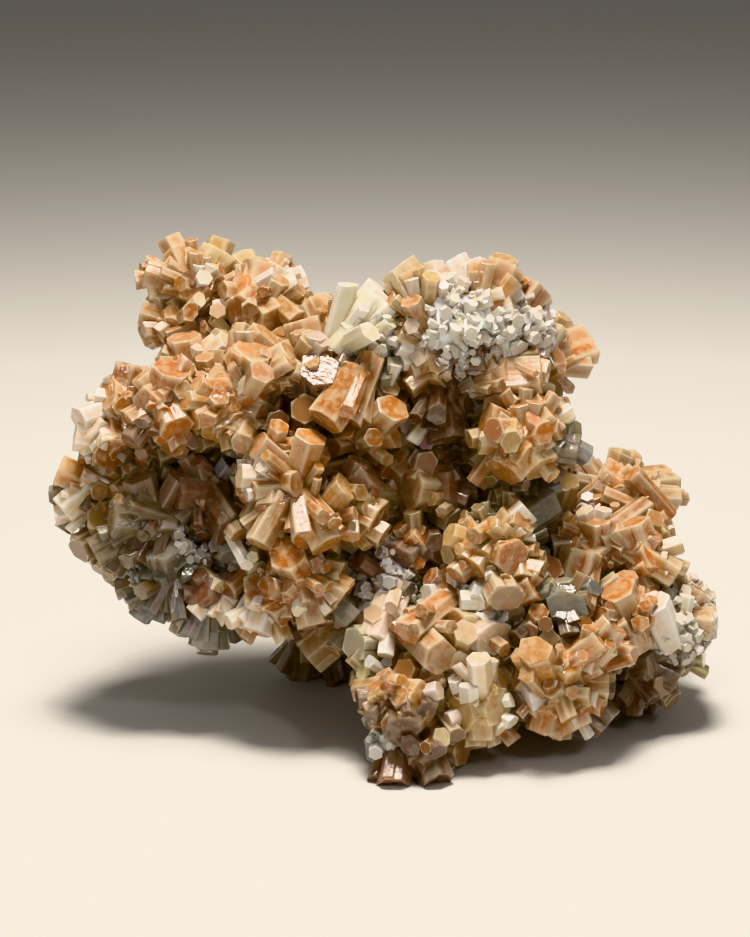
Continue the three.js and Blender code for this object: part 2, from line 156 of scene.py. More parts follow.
# %% List the lobes and measure the distance to the mass
# name, (right, up, depth) of the middle, half sizes, turn on the sheet in degrees
LOBES = [
    ("middle", (4, -2, 30), (37, 33, 22), 0),
    ("middle low", (14, -32, 18), (28, 16, 16), 0),
    ("back", (4, 2, 46), (42, 26, 17), 0),
    ("back right", (44, -20, 40), (24, 20, 17), 0),
    ("left", (-51, -11, 24), (23, 21, 17), 0),
    ("left lower", (-38, -28, 23), (19, 10, 14), 0),
    ("left front", (-20, -15, 10), (17, 24, 16), 0),
    ("rim", (-44, 17, 12), (29, 7, 14), 14),
    ("rim to crest", (-12, 20, 11), (18, 11, 14), 0),
    ("left knob", (-47, 43, 42), (9, 9, 10), 0),
    ("left knob right", (-29, 42, 42), (8, 7, 10), 0),
    ("left knob neck", (-38, 29, 36), (15, 13, 13), 0),
    ("ridge", (-11, 31, 29), (20, 6, 12), 0),
    ("crest", (18, 35, 11), (23, 9, 14), 0),
    ("right knob behind", (42, 30, 27), (7, 7, 9), 0),
    ("right knob", (37, 9, 5), (11, 10, 14), 0),
    ("right knob neck", (33, 14, 17), (14, 14, 13), 0),
    ("right back", (62, -6, 36), (11, 6, 9), 0),
    ("right", (59, -24, 28), (14, 16, 17), 0),
    ("right end", (70, -41, 25), (12, 12, 13), 0),
    ("right lower", (65, -50, 26), (10, 8, 12), 0),
    ("front right", (44, -43, 7), (18, 15, 19), 0),
    ("front rosette", (30, -22, 2), (11, 13, 13), 0),
    ("front", (21, -49, 1), (18, 13, 15), 0),
    ("front left", (5, -54, -2), (8, 14, 11), 0),
    ("front foot", (12, -67, -12), (11, 8, 8), 0),
    ("rear foot", (-16, -34, 45), (10, 14, 10), 0),
]
LOBE_BLEND = 2  # mm


def shaped(lobe):
    """A lobe's middle, its three axes and its half sizes along them."""
    name, at, half, turn = lobe
    turn = math.radians(turn)
    along = RIGHT * math.cos(turn) + UP * math.sin(turn)
    across = UP * math.cos(turn) - RIGHT * math.sin(turn)
    return place(*at), np.array([along, across, AWAY]), np.array(half, float)


SHAPED_LOBES = [shaped(lobe) for lobe in LOBES]


def mass_distance(points):
    """About how far each point is outside the mass in mm; below zero inside it."""
    pull = np.zeros(len(points))
    for middle, axes, half in SHAPED_LOBES:
        local = (points - middle) @ axes.T / half
        scaled = np.linalg.norm(local, axis=1)
        slope = np.maximum(np.linalg.norm(local / half, axis=1), 1e-9)
        pull += np.exp(-scaled * (scaled - 1) / slope / LOBE_BLEND)
    return -LOBE_BLEND * np.log(pull)


at_middle = mass_distance(np.zeros((1, 3))).round(1)
print(len(LOBES), "lobes; distance from the mass at the sheet's middle in mm:", at_middle)

# %% [markdown]
# ## The skin of the mass
#
# A surface is drawn over the lobes by shrink-wrapping a ball of facets on to them: each point of
# the ball walks in towards a spine until it meets the mass. A remesh of the lobes would work too,
# but the ball gives even facets and the same surface at any fineness. A coarse one matches the
# solid model and carries the crystals' roots; a fine one is what shows between them.

# %% Shrink-wrap a ball of facets on to the lobes
SPINE = np.array([[-44, -4, 24], [56, -28, 24]], float)  # from left to right on the sheet
SKIN_REACH = 110  # mm from the spine to where a point starts its walk
COARSE_SKIN, FINE_SKIN = 5, 60  # cuts of each face of the ball
CLOSE_ENOUGH = 0.05  # mm
STRIDE = 0.7  # share of the distance to the mass that one step takes


def ball_facets(detail):
    """Corners and triangles of an icosahedron, each of its faces cut into (detail + 1)² facets."""
    t = (1 + math.sqrt(5)) / 2
    corners = np.array([
        [-1, t, 0], [1, t, 0], [-1, -t, 0], [1, -t, 0], [0, -1, t], [0, 1, t],
        [0, -1, -t], [0, 1, -t], [t, 0, -1], [t, 0, 1], [-t, 0, -1], [-t, 0, 1],
    ])
    sides = [
        (0, 11, 5), (0, 5, 1), (0, 1, 7), (0, 7, 10), (0, 10, 11), (1, 5, 9), (5, 11, 4),
        (11, 10, 2), (10, 7, 6), (7, 1, 8), (3, 9, 4), (3, 4, 2), (3, 2, 6), (3, 6, 8),
        (3, 8, 9), (4, 9, 5), (2, 4, 11), (6, 2, 10), (8, 6, 7), (9, 8, 1),
    ]
    cuts = detail + 1
    index, points, facets = {}, [], []

    def corner(a, b, c, i, j):
        """The number of a point on the ball, which neighbouring facets share."""
        point = (a * (cuts - i - j) + b * j + c * i) / cuts
        point = point / np.linalg.norm(point)
        key = tuple(np.round(point, 6) + 0.0)
        if key not in index:
            index[key] = len(points)
            points.append(point)
        return index[key]

    for a, b, c in (corners[list(side)] for side in sides):
        for i in range(cuts):
            for j in range(cuts - i):
                facets.append([corner(a, b, c, *at) for at in ((i, j + 1), (i + 1, j), (i, j))])
                if i + j < cuts - 1:
                    facets.append([
                        corner(a, b, c, *at) for at in ((i, j + 1), (i + 1, j + 1), (i + 1, j))
                    ])
    return np.array(points), np.array(facets)


def skin_points(directions, sunk):
    """Where each direction of the ball, walking in to the spine, is `sunk` mm inside the mass."""
    along = (directions[:, :1] + 1) / 2
    start = SPINE[0] + (SPINE[1] - SPINE[0]) * along
    reach = np.full(len(directions), float(SKIN_REACH))
    walking = np.ones(len(directions), bool)
    while walking.any():
        at = start[walking] + directions[walking] * reach[walking, None]
        distance = mass_distance(place(*at.T)) + sunk
        moving = (distance >= CLOSE_ENOUGH) & (reach[walking] > 1)
        step = np.where(moving, np.maximum(CLOSE_ENOUGH, distance * STRIDE), 0)
        reach[walking] -= step
        walking[np.flatnonzero(walking)[~moving]] = False
    return place(*(start + directions * reach[:, None]).T)


def skin(detail, sunk=0):
    """Points and facets of the mass's skin, or of one that is `sunk` mm under it."""
    directions, facets = ball_facets(detail)
    # The sheet's right, up and away are a left-handed set, so the facets are turned back out.
    return skin_points(directions, sunk), facets[:, ::-1]


coarse_points, coarse_facets = skin(COARSE_SKIN)
COARSE_TREE = BVHTree.FromPolygons(coarse_points.tolist(), coarse_facets.tolist())
print("Coarse skin:", len(coarse_facets), "facets")

# %% [markdown]
# ## Where the large crystals stand
#
# A rosette is a burst of crystals that share one root. On the real cluster no two are alike, so
# each large crystal is given one by one: its tip on the sheet, how far it comes forward, its
# radius, and the tint of its stretch of the cluster. Random planting would fill the same area,
# but it would lose the knobs, the long prisms and the bare hollows that make this piece itself.

# %% List the placed crystals
# name, (right, up) of the shared root, tips as (right, up, forward, radius, tint)
# Crystals in hollows, under overhangs and low on the left have the dark tints M, S, G and B, which
# are partly painted shade.
ROSETTES = [
    ("left knob top", (-45, 45), [
        (-49.5, 55, 2, 4.2, "H"), (-39, 54.5, 2, 4.6, "Y"), (-57, 48.5, 3, 4.4, "H"),
        (-46, 46, 9, 4.6, "P"), (-44.2, 51.5, 7, 2.6, "W"), (-46.2, 47.8, 10, 2.4, "M"),
        (-42.5, 47.8, 10, 2.4, "W"), (-38.2, 49.5, 7, 2.2, "R"), (-40.8, 51.5, 6, 2.4, "C"),
        (-52.5, 51.5, 5, 2.8, "H"), (-56.2, 50.5, 4, 3, "H"), (-56.8, 44, 4, 2.8, "T"),
        (-36.2, 52.5, 3, 2.6, "Y"), (-48.8, 46.2, 11, 2.4, "H"),
    ]),
    ("left knob low", (-49, 37), [
        (-58, 39.5, 4, 4.4, "O"), (-51, 34, 8, 4.8, "T"), (-57.5, 33, 2, 4.4, "T"),
        (-50.8, 39, 10, 2.6, "P"), (-46, 39.2, 11, 2.6, "R"), (-43.8, 42.5, 10, 2.2, "C"),
        (-47.2, 34.5, 8, 2.6, "T"), (-56.2, 31.8, 4, 3.2, "P"), (-53.8, 37.5, 8, 2.8, "H"),
    ]),
    ("left knob right", (-29, 43), [
        (-27, 51, 3, 5.2, "P"), (-19.5, 45.5, 4, 4.8, "C"), (-24, 37, 7, 5, "T"),
        (-34, 39, 9, 5, "A"), (-30, 52.5, 4, 3, "P"), (-23.8, 50.5, 4, 3, "C"),
        (-18.8, 42.8, 4, 2.8, "C"), (-22.5, 44.5, 8, 3, "O"), (-28.2, 41.2, 9, 3.2, "C"),
        (-38.2, 44.5, 9, 2.8, "T"), (-33.8, 46.5, 9, 3.2, "H"), (-18.8, 36.5, 6, 3, "C"),
    ]),
    ("rim top", (-46, 25), [
        (-48, 33, 7, 5.2, "P"), (-38.5, 31, 6, 4.2, "C"), (-42.8, 29.5, 8, 2.6, "P"),
        (-50.8, 28.5, 8, 2.6, "P"), (-53.8, 29, 5, 2.6, "T"),
    ]),
    ("rim top right", (-31, 23), [
        (-30, 30, 9, 5.6, "P"), (-21, 29, 7, 4.2, "T"), (-35.2, 25, 10, 1.9, "W"),
        (-23, 28.8, 6, 3, "O"), (-24.8, 24, 8, 3, "A"), (-33, 34.5, 6, 2.6, "T"),
    ]),
    ("rim middle", (-38, 16), [
        (-40, 17.5, 9, 5.8, "P"), (-29, 21, 8, 5, "O"), (-29.5, 8.5, 7, 4.8, "T"),
        (-39, 8.5, 8, 4.8, "H"), (-33.8, 17, 9, 3.2, "P"), (-29.2, 23.2, 11, 2.8, "C"),
        (-28.2, 14, 8, 3, "A"), (-45.5, 12, 9, 3.2, "P"), (-44.8, 21, 9, 3, "P"),
        (-34.2, 12, 9, 2.8, "P"), (-42, 12, 10, 2.6, "O"), (-36.2, 4.5, 8, 2.4, "T"),
        (-47.5, 17, 9, 2.6, "H"), (-32.2, 4.5, 8, 2.4, "T"),
    ]),
    ("rim left", (-53, 17), [
        (-51, 25, 8, 5, "O"), (-57, 15, 9, 5, "P"), (-49.5, 9.5, 9, 4.8, "O"),
        (-53, 18.8, 10, 2.8, "M"), (-58.8, 23.2, 6, 3, "P"), (-56.2, 20.8, 8, 2.8, "O"),
        (-55.8, 9, 8, 3, "O"), (-61.2, 6.5, 8, 3.2, "M"), (-48.8, 5, 7, 2.6, "O"),
        (-46.8, 27.5, 6, 2.4, "H"), (-62, 12, 7, 3, "O"),
    ]),
    ("rim far left", (-63, 17), [
        (-60.5, 26, 5, 4.8, "A"), (-67, 19, 7, 4.6, "P"), (-63.8, 20.8, 8, 2.8, "P"),
        (-62.5, 15.8, 9, 2.8, "O"), (-69.8, 18.2, 5, 2.6, "C"), (-65.8, 23.5, 4, 2.6, "A"),
    ]),
    ("rim end", (-67, 8), [
        (-75, 9, 5, 4.8, "C"), (-66, 3.5, 8, 5.4, "A"), (-71.2, 10.8, 8, 3.6, "C"),
        (-69.5, 5, 9, 2.2, "W"), (-63.8, 4, 8, 2.8, "R"), (-73.8, 5.5, 6, 2.6, "C"),
        (-61.2, 2.8, 7, 2.4, "M"),
    ]),
    ("left end", (-70, -4), [
        (-79, 0, 4, 4.6, "H"), (-78, -11, 5, 4.6, "C"), (-74.2, -3, 7, 3, "C"),
        (-72.5, -11, 6, 3.2, "S"), (-81.2, -7, 3, 2.6, "G"), (-68.8, -6, 8, 2.6, "T"),
        (-76.2, -6, 6, 2.6, "H"), (-69.8, -0.5, 7, 2.6, "O"), (-78.2, -15.5, 3, 2.4, "G"),
    ]),
    ("left side", (-56, -14), [
        (-66, -13, 8, 5, "G"), (-70, -22, 4, 4.8, "G"), (-61, -23, 7, 4.8, "S"),
        (-59, -2, 7, 4.8, "M"), (-49.2, -1.8, 8, 3, "M"), (-61.2, -13, 9, 3.4, "G"),
        (-65, -8, 8, 2.6, "T"), (-56.2, -15.5, 9, 3, "G"), (-68.8, -16.8, 6, 2.6, "G"),
        (-63.8, -18, 7, 2.8, "S"), (-65.8, -26, 5, 2.8, "S"), (-57.2, -8, 8, 2.6, "M"),
    ]),
    ("left low", (-51, -26), [
        (-52, -19, 9, 5, "B"), (-62, -32, 3, 4.2, "G"), (-56, -37, 2, 4.6, "B"),
        (-52.5, -22, 9, 2.6, "B"), (-49.2, -23, 9, 2.4, "B"), (-54.8, -25.5, 8, 2.4, "B"),
        (-64.5, -29.8, 4, 2.6, "G"), (-52.5, -36, 5, 2.8, "B"), (-48.2, -37.5, 6, 3, "G"),
        (-56.2, -30.5, 7, 2.6, "G"), (-59.8, -34.5, 4, 2.6, "B"),
    ]),
    ("left bottom", (-41, -31), [
        (-45, -30, 9, 5.2, "M"), (-41.5, -44.5, 2, 4.4, "B"), (-35, -36, 7, 5, "C"),
        (-43.2, -33.8, 8, 3, "C"), (-44.2, -26.2, 9, 2.6, "M"), (-41.2, -41, 5, 2.6, "B"),
        (-38.8, -41, 6, 2.8, "G"), (-36.5, -33, 8, 2.2, "W"), (-48.2, -30.5, 7, 2.6, "M"),
        (-38.2, -45, 3, 2.4, "B"), (-47.2, -42, 4, 2.4, "B"), (-33.8, -30.5, 8, 2.4, "M"),
    ]),
    ("under rim", (-42, -6), [
        (-41, -5, 8, 5.6, "A"), (-36, -16, 7, 5.2, "S"), (-50, -6, 7, 5.2, "M"),
        (-43.8, 1.5, 7, 3, "G"), (-36.2, 1.5, 7, 3, "B"), (-41.8, -9.8, 9, 2.6, "A"),
        (-39.2, -13, 8, 3, "A"), (-36.5, -22.2, 8, 2.4, "B"), (-32.2, -24.2, 9, 1.8, "W"),
        (-46.2, -10.5, 7, 2.8, "S"), (-50, -13, 7, 2.6, "G"), (-44.2, -15.5, 7, 2.6, "S"),
        (-47.5, 3.2, 6, 2.6, "M"), (-53.8, -0.5, 6, 2.6, "G"), (-38.8, -1.8, 8, 2.4, "S"),
        (-33.8, -16.8, 7, 2.6, "A"),
    ]),
    ("left front bottom", (-27, -33), [
        (-30, -41, 6, 5, "C"), (-28, -30, 9, 5.6, "A"), (-33, -39.2, 7, 2.8, "C"),
        (-27.5, -38.5, 8, 2.6, "W"), (-23.8, -35.5, 8, 2.6, "T"), (-36.8, -38.5, 6, 2.4, "C"),
        (-22.5, -43, 6, 2.6, "T"), (-32.5, -43, 5, 2.4, "T"), (-31.2, -33, 9, 2.6, "C"),
        (-19.8, -43, 5, 2.2, "S"),
    ]),
    ("brown group", (-18, -27), [
        (-22, -21, 9, 5.6, "A"), (-17.5, -31, 10, 5, "A"), (-8, -33, 6, 4.8, "H"),
        (-15, -39.5, 6, 4.6, "T"), (-26.2, -24.2, 8, 3, "A"), (-18.2, -24.2, 9, 3.2, "A"),
        (-13.2, -26.8, 8, 2.8, "R"), (-8.8, -26.5, 7, 2, "T"), (-10.8, -36, 8, 2.6, "T"),
        (-12.5, -38.5, 7, 2.6, "S"), (-18.8, -36, 9, 2.4, "W"), (-23.8, -31, 9, 2.8, "A"),
        (-5.8, -38, 6, 2.8, "B"),
    ]),
    ("cream group", (-25, -1), [
        (-34, -2, 5, 4.6, "C"), (-27, 5, 8, 5.2, "P"), (-15, 5, 7, 5.2, "O"),
        (-26, -11, 7, 5.2, "P"), (-32, 0.5, 8, 2.8, "C"), (-27.2, -4.5, 10, 3, "A"),
        (-19.5, -5, 10, 2.6, "M"), (-32, -13.5, 7, 2.8, "T"), (-28.2, -8, 9, 2.6, "C"),
        (-30, 4.5, 8, 2.8, "P"), (-23.2, 7, 9, 3, "O"), (-18.5, 4, 9, 3, "O"),
        (-18.8, -0.5, 9, 2.6, "O"), (-21.2, -8, 8, 2.4, "M"), (-25, -14, 8, 2.6, "P"),
        (-30, -17.5, 6, 2.4, "T"),
    ]),
    ("orange group", (-9, -8), [
        (-9, -8, 10, 5.4, "O"), (1, -13, 8, 5.4, "P"), (-13, -20, 6, 5.2, "H"),
        (-1, -1, 8, 5.2, "M"), (-13.8, -3.8, 8, 2.6, "G"), (-8.8, -1.8, 9, 2.2, "G"),
        (-3.8, 1.8, 9, 3, "M"), (-3.2, -2.2, 8, 2.4, "R"), (-3.2, -6.2, 9, 2.2, "T"),
        (0, -7.2, 9, 2.4, "O"), (1, -10.5, 10, 2, "O"), (-9.2, -13, 9, 2.8, "O"),
        (-6.2, -9.2, 10, 2.6, "P"), (-2.2, -16.8, 9, 2.8, "H"), (-17.2, -11.8, 8, 3, "A"),
        (-18.8, -15.5, 8, 2.6, "O"), (-11.2, -16.8, 8, 2.8, "H"), (-5, -14.2, 9, 2.6, "C"),
        (-13.2, -8, 8, 2, "M"),
    ]),
    ("above long prism", (-14, 22), [
        (-14, 25, 8, 5.2, "M"), (-21, 25, 7, 2.8, "T"), (-18.8, 20.8, 7, 2.6, "M"),
        (-16.2, 27, 8, 2.8, "T"),
    ]),
    ("ridge", (-12, 33), [
        (-16, 41, 2, 4.6, "T"), (-8, 40, 3, 4.6, "O"), (-12.5, 40, 5, 2.8, "O"),
        (-6.2, 39, 4, 2.8, "T"), (-14.2, 36.5, 8, 3, "P"), (-9.2, 35.8, 8, 2.8, "T"),
        (-18.8, 32.5, 6, 2.6, "O"),
    ]),
    ("crest white", (-6, 33), [
        (2, 42.5, 6, 5.6, "W"), (-6.2, 37, 7, 3, "W"), (-8.8, 34.5, 7, 2.8, "W"),
        (-1.8, 40.8, 7, 3.4, "W"), (-7.5, 30.8, 6, 2.6, "W"), (-3.8, 30.8, 7, 2.8, "W"),
        (-0.8, 35.8, 8, 3, "C"),
    ]),
    ("crest honey", (12, 37), [
        (6, 48, 5, 5.4, "H"), (15, 48.5, 2, 4.6, "C"), (13, 36, 8, 5.4, "W"), (5, 46.5, 6, 3, "H"),
        (8.8, 50, 4, 2.4, "H"), (11.2, 48.5, 4, 2.2, "C"), (7.5, 42, 8, 3.2, "O"),
        (10, 44.5, 7, 3, "O"), (3.2, 42.5, 8, 2.8, "O"),
    ]),
    ("crest top", (27, 39), [
        (19.5, 52, 1, 4, "C"), (25.5, 50.5, 2, 4.6, "P"), (33, 51, 3, 4.8, "P"),
        (25, 39, 8, 5.2, "W"), (35, 41.5, 6, 4.8, "C"), (22.8, 51.5, 3, 2.6, "C"),
        (29.2, 42, 7, 2.6, "M"), (33.8, 42, 7, 2.6, "C"), (36.8, 44.5, 4, 2.6, "G"),
        (30.2, 46, 5, 2.8, "P"), (20.8, 44.5, 5, 2.6, "C"), (18, 48, 4, 2.4, "C"),
    ]),
    ("crest underside", (18, 28), [
        (10, 27, 8, 5.4, "P"), (28, 30, 7, 5.4, "M"), (5.5, 30.2, 8, 2.6, "W"),
        (5.5, 33.2, 9, 2.2, "T"), (20.8, 33.2, 9, 2.8, "W"), (17, 29.5, 9, 2.6, "W"),
        (12.5, 32, 9, 2.8, "W"), (8.8, 35.8, 8, 2.6, "W"), (28.8, 32, 8, 2.6, "M"),
        (24.2, 31.5, 8, 2.6, "S"), (13.2, 25.5, 9, 3.4, "P"), (8.2, 24, 8, 3, "H"),
        (15, 20.8, 7, 3.2, "H"), (8.2, 20, 8, 3, "O"), (2.5, 25.8, 7, 2.4, "B"),
        (6.2, 27, 8, 2.4, "C"), (32.5, 34.5, 8, 2.6, "W"), (35, 37.5, 7, 2.4, "W"),
        (18.8, 25.8, 7, 2.8, "T"),
    ]),
    ("below crest", (17, 18), [
        (12, 16, 8, 5.2, "M"), (22, 19, 8, 5.4, "S"), (18, 7, 7, 5.2, "S"), (9.2, 6.5, 7, 2.2, "W"),
        (19.2, 10.8, 8, 2.8, "S"), (23.8, 17, 7, 3, "S"), (29.2, 22.5, 7, 2.4, "B"),
        (16.2, 14, 8, 2.6, "M"), (25, 23.2, 8, 2.6, "S"), (20, 20.8, 7, 2.8, "S"),
        (33.8, 25, 6, 3.6, "T"), (30.8, 26.5, 7, 2.6, "P"), (13.8, 9.5, 8, 2.4, "S"),
        (36.2, 22, 6, 2.6, "T"),
    ]),
    ("right of crest", (33, 24), [
        (42, 24.5, 5, 4.8, "P"),
    ]),
    ("knob behind", (42, 30), [
        (44, 36, 3, 5.2, "T"), (39.5, 39, 3, 2.8, "O"), (46.2, 34.5, 3, 3, "T"),
        (47.8, 30.8, 3, 3, "O"), (46.2, 26.5, 3, 2.8, "T"), (42.5, 29.5, 5, 2.8, "T"),
        (40.8, 33.2, 4, 2.6, "O"),
    ]),
    ("right knob", (38, 7), [
        (27.5, 12, 7, 5.4, "O"), (36, 9, 9, 5.8, "P"), (45, 14, 5, 5.4, "O"), (32, -1, 7, 5.4, "H"),
        (42, 0, 7, 5.4, "Y"), (51, 4.5, 4, 4.8, "G"), (36.2, 16.2, 7, 3, "O"),
        (30, 12.5, 8, 3, "O"), (33.8, 8.8, 11, 3, "P"), (40.2, 17, 8, 2.8, "P"),
        (40, 12.5, 9, 2.8, "P"), (49.2, 14, 4, 2.8, "C"), (26.2, 6.5, 8, 3, "Y"),
        (35, 1.5, 9, 3, "H"), (37.5, 0, 8, 2.6, "O"), (42, 4.5, 10, 2.8, "Y"),
        (42.5, 9, 10, 3, "O"), (46.8, 9.5, 8, 2.8, "P"), (46.8, 4.5, 7, 2.6, "B"),
        (53.8, 3, 2, 2.4, "W"), (44.5, -2, 7, 2.6, "H"), (31.2, 4.5, 9, 2.6, "O"),
        (45.2, 18.2, 6, 2.6, "O"), (38.2, 20.5, 6, 2.4, "T"),
    ]),
    ("hollow", (16, -5), [
        (21, -5, 8, 5.4, "M"), (9, -5, 8, 5.4, "T"), (21.2, -0.5, 7, 3, "S"),
        (17.5, -0.5, 7, 2.8, "R"), (13.8, -3, 8, 2.6, "M"), (23.8, -8, 7, 2.8, "M"),
        (16.2, -9.2, 7, 3, "M"), (12.5, -8, 8, 2.6, "S"), (25.8, -5, 6, 2.6, "S"),
        (9.2, -0.5, 8, 2.8, "R"),
    ]),
    ("hollow low", (10, -20), [
        (13.5, -17, 7, 5, "A"), (6, -24, 7, 5.2, "M"), (6.2, -19.2, 8, 3.2, "A"),
        (9.2, -10.5, 8, 2.8, "T"), (11.2, -21.8, 8, 2.6, "M"), (16.2, -21.8, 8, 2.4, "M"),
        (10, -15.5, 8, 2.8, "A"), (6.2, -14.2, 8, 2.4, "R"),
    ]),
    ("star", (29, -20), [
        (22, -16.5, 8, 5.4, "H"), (35.5, -12, 6, 5.4, "Y"), (24, -26, 8, 6.2, "H"),
        (34.5, -22, 9, 5, "O"), (27.2, -15.5, 9, 2.6, "C"), (32.5, -20.5, 11, 2.6, "O"),
        (28.2, -24.2, 11, 2.4, "M"), (29.2, -27.5, 11, 1.8, "W"), (20, -26.8, 9, 3, "O"),
        (30, -30.5, 8, 2.6, "G"), (25.8, -20, 10, 3, "H"), (31.2, -16.8, 9, 2.6, "Y"),
        (36.8, -10.5, 7, 2.6, "Y"), (25, -12.5, 6, 2.4, "G"), (28.8, -11, 6, 2.2, "B"),
    ]),
    ("below star", (33, -33), [
        (40.5, -29, 7, 5.4, "A"), (30, -34, 8, 5.2, "W"), (25.8, -33.8, 9, 2.2, "W"),
        (23.8, -30.5, 8, 2.8, "W"), (29.5, -36, 8, 2.6, "B"), (35, -36, 8, 2.8, "G"),
        (38.8, -30.5, 7, 2.8, "S"), (40.8, -26, 8, 2.6, "A"), (32.5, -26.8, 8, 2.8, "H"),
        (23.8, -38, 8, 2.4, "G"), (43.8, -31, 6, 2.4, "B"), (26.2, -38, 9, 2, "W"),
        (21.2, -33, 8, 2.8, "W"),
    ]),
    ("tan pair", (25, -40), [
        (19.5, -40, 8, 5.2, "P"), (30, -42.5, 8, 5, "C"), (23.8, -42, 9, 2.6, "C"),
        (32.5, -45.5, 8, 2.4, "T"), (17.5, -43, 8, 2.4, "P"), (13.8, -43, 9, 2.2, "P"),
        (26.2, -44.2, 8, 2.2, "W"),
    ]),
    ("shiny prism", (17.5, -34), [
        (6.5, -42, 8, 4.6, "O"), (18.2, -33.5, 8, 2.8, "O"),
    ]),
    ("cream wedge", (4, -34), [
        (0, -44, 6, 5.4, "C"), (3.8, -37.2, 8, 2.8, "C"), (-3.8, -45, 7, 2.8, "M"),
        (-10, -44.2, 6, 2.6, "G"), (-2.5, -41, 7, 2.4, "B"), (-6.2, -41.8, 6, 2.4, "S"),
        (2.5, -46.8, 8, 2, "W"),
    ]),
    ("front cap", (12, -43), [
        (16.5, -47.5, 9, 5, "T"),
    ]),
    ("front left", (6, -58), [
        (1, -53.5, 7, 5, "P"), (12, -58.5, 9, 5.2, "H"), (-2, -62, 5, 5, "A"),
        (7, -66, 8, 4.8, "S"), (5.8, -61, 10, 2, "C"), (0.8, -58, 9, 3, "O"),
        (8.8, -55.5, 9, 2.8, "P"), (3.8, -64.2, 9, 2.8, "A"), (-4.5, -58, 6, 2.6, "S"),
        (12.5, -63.5, 9, 2.4, "H"), (16.2, -55.5, 8, 2.4, "C"), (14.2, -61, 9, 2.6, "H"),
        (3.2, -55.5, 9, 2.4, "H"),
    ]),
    ("front foot", (12, -67), [
        (-0.5, -70, 4, 4.4, "B"), (22, -70, 5, 4.8, "T"), (10, -74, 5, 4.6, "S"),
        (2.8, -68.5, 6, 2.2, "W"), (8.8, -69.2, 7, 2.8, "S"), (16.2, -70, 7, 2.8, "T"),
        (19.2, -66.8, 7, 2.6, "G"), (5, -72.5, 6, 2.4, "B"), (13.8, -73, 7, 2.6, "S"),
        (17.5, -74.2, 5, 2.6, "S"), (0, -66.8, 6, 2.2, "W"),
    ]),
    ("pale group", (26, -59), [
        (26.5, -50, 7, 4.8, "W"), (21, -61, 8, 5.2, "Y"), (31, -59.5, 9, 5.2, "Y"),
        (26, -68, 4, 5, "Y"), (34.2, -57.8, 7, 2.2, "W"), (34.5, -63.5, 7, 2.2, "W"),
        (26.2, -63.5, 9, 2.8, "Y"), (23.8, -56.8, 10, 2.6, "Y"), (28.8, -55.5, 9, 2.4, "C"),
        (31.8, -65.5, 7, 2.4, "C"), (25, -69.8, 5, 2.6, "T"), (18.2, -63.5, 8, 2.4, "C"),
        (21.2, -55.5, 8, 2.6, "C"), (34.8, -68.5, 4, 2.6, "R"), (30, -69.2, 4, 2.4, "T"),
    ]),
    ("big rosette", (46, -54), [
        (39, -48, 8, 5.4, "P"), (47.5, -47.5, 8, 5.4, "H"), (37, -57.5, 8, 5, "W"),
        (42, -66.5, 6, 5, "O"), (50.5, -65.5, 6, 5, "O"), (58, -54.5, 5, 4.8, "H"),
        (58.5, -64, 4, 4.4, "S"), (42.5, -62, 9, 3.2, "O"), (48, -58.8, 11, 2, "M"),
        (51.2, -56, 10, 2.2, "W"), (57.2, -59.8, 8, 2.6, "O"), (53.8, -67, 6, 2, "C"),
        (46.2, -67.5, 5, 2.6, "T"), (40, -58.5, 8, 2.2, "B"), (48.8, -50, 10, 2.6, "Y"),
        (52.5, -52, 9, 2.6, "O"), (43.2, -55.5, 10, 2.8, "C"), (46.2, -53, 11, 2.8, "H"),
        (45.2, -59.5, 11, 2.4, "O"), (53.2, -61, 9, 2.4, "O"), (55.8, -57.5, 9, 2.2, "C"),
        (49.8, -56, 12, 2.2, "H"), (38.8, -61.8, 8, 2.4, "O"), (50, -61, 10, 2, "A"),
        (36.2, -50, 7, 2.6, "T"), (42.5, -50, 10, 2.6, "P"),
    ]),
    ("salmon prism", (50, -48), [
        (57.5, -42.5, 8, 5.2, "P"), (56.5, -44.2, 9, 3, "P"), (53.8, -46.8, 8, 2.8, "O"),
        (58.8, -38.5, 8, 3, "O"), (55.2, -50, 8, 2.4, "C"),
    ]),
    ("right orange", (63, -38), [
        (62, -31, 9, 5.8, "O"), (64, -43.5, 8, 5.4, "A"), (72, -36, 8, 6.2, "C"),
        (65.5, -41.8, 8, 2.6, "A"), (67.5, -33.5, 8, 3, "C"), (74.2, -40.5, 7, 2.6, "C"),
        (68.8, -43, 7, 2.4, "G"), (63.2, -26.8, 8, 3, "O"), (59.2, -33, 8, 3, "O"),
        (70, -30.5, 7, 2.6, "O"), (56.2, -36.8, 7, 2.6, "R"), (78.8, -36, 5, 2.6, "G"),
    ]),
    ("right bottom", (67, -49), [
        (71, -49, 7, 5.2, "G"), (75.5, -53, 4, 5.2, "S"), (66.8, -53.5, 6, 2.6, "T"),
        (69.2, -56.8, 5, 2.6, "G"), (64.2, -61.5, 4, 2.6, "S"), (63.8, -55.5, 6, 2.6, "S"),
        (72.5, -45.5, 7, 2.4, "G"), (66.2, -46.8, 7, 2.6, "B"), (61.2, -58, 6, 2.4, "S"),
        (78.8, -46.8, 4, 2.4, "S"),
    ]),
    ("right end", (75, -38), [
        (83.5, -39, 4, 5.4, "T"), (80, -30.5, 3, 4.4, "R"), (85.8, -38.5, 2, 2, "C"),
        (82, -43.8, 4, 2.8, "B"), (81.2, -34.2, 5, 2.6, "R"), (78.8, -40.5, 6, 2.6, "S"),
    ]),
    ("right shoulder", (67, -22), [
        (70, -20.5, 7, 5.2, "O"), (75, -27, 5, 4.6, "T"), (63.5, -13.5, 6, 4.8, "O"),
        (76.5, -19.2, 4, 2.6, "Y"), (74.2, -26.2, 7, 2.4, "W"), (66.2, -16.8, 7, 2.8, "O"),
        (70.2, -16.8, 6, 2.6, "O"), (73.2, -23, 6, 2.6, "R"), (67.5, -25.5, 8, 2.6, "O"),
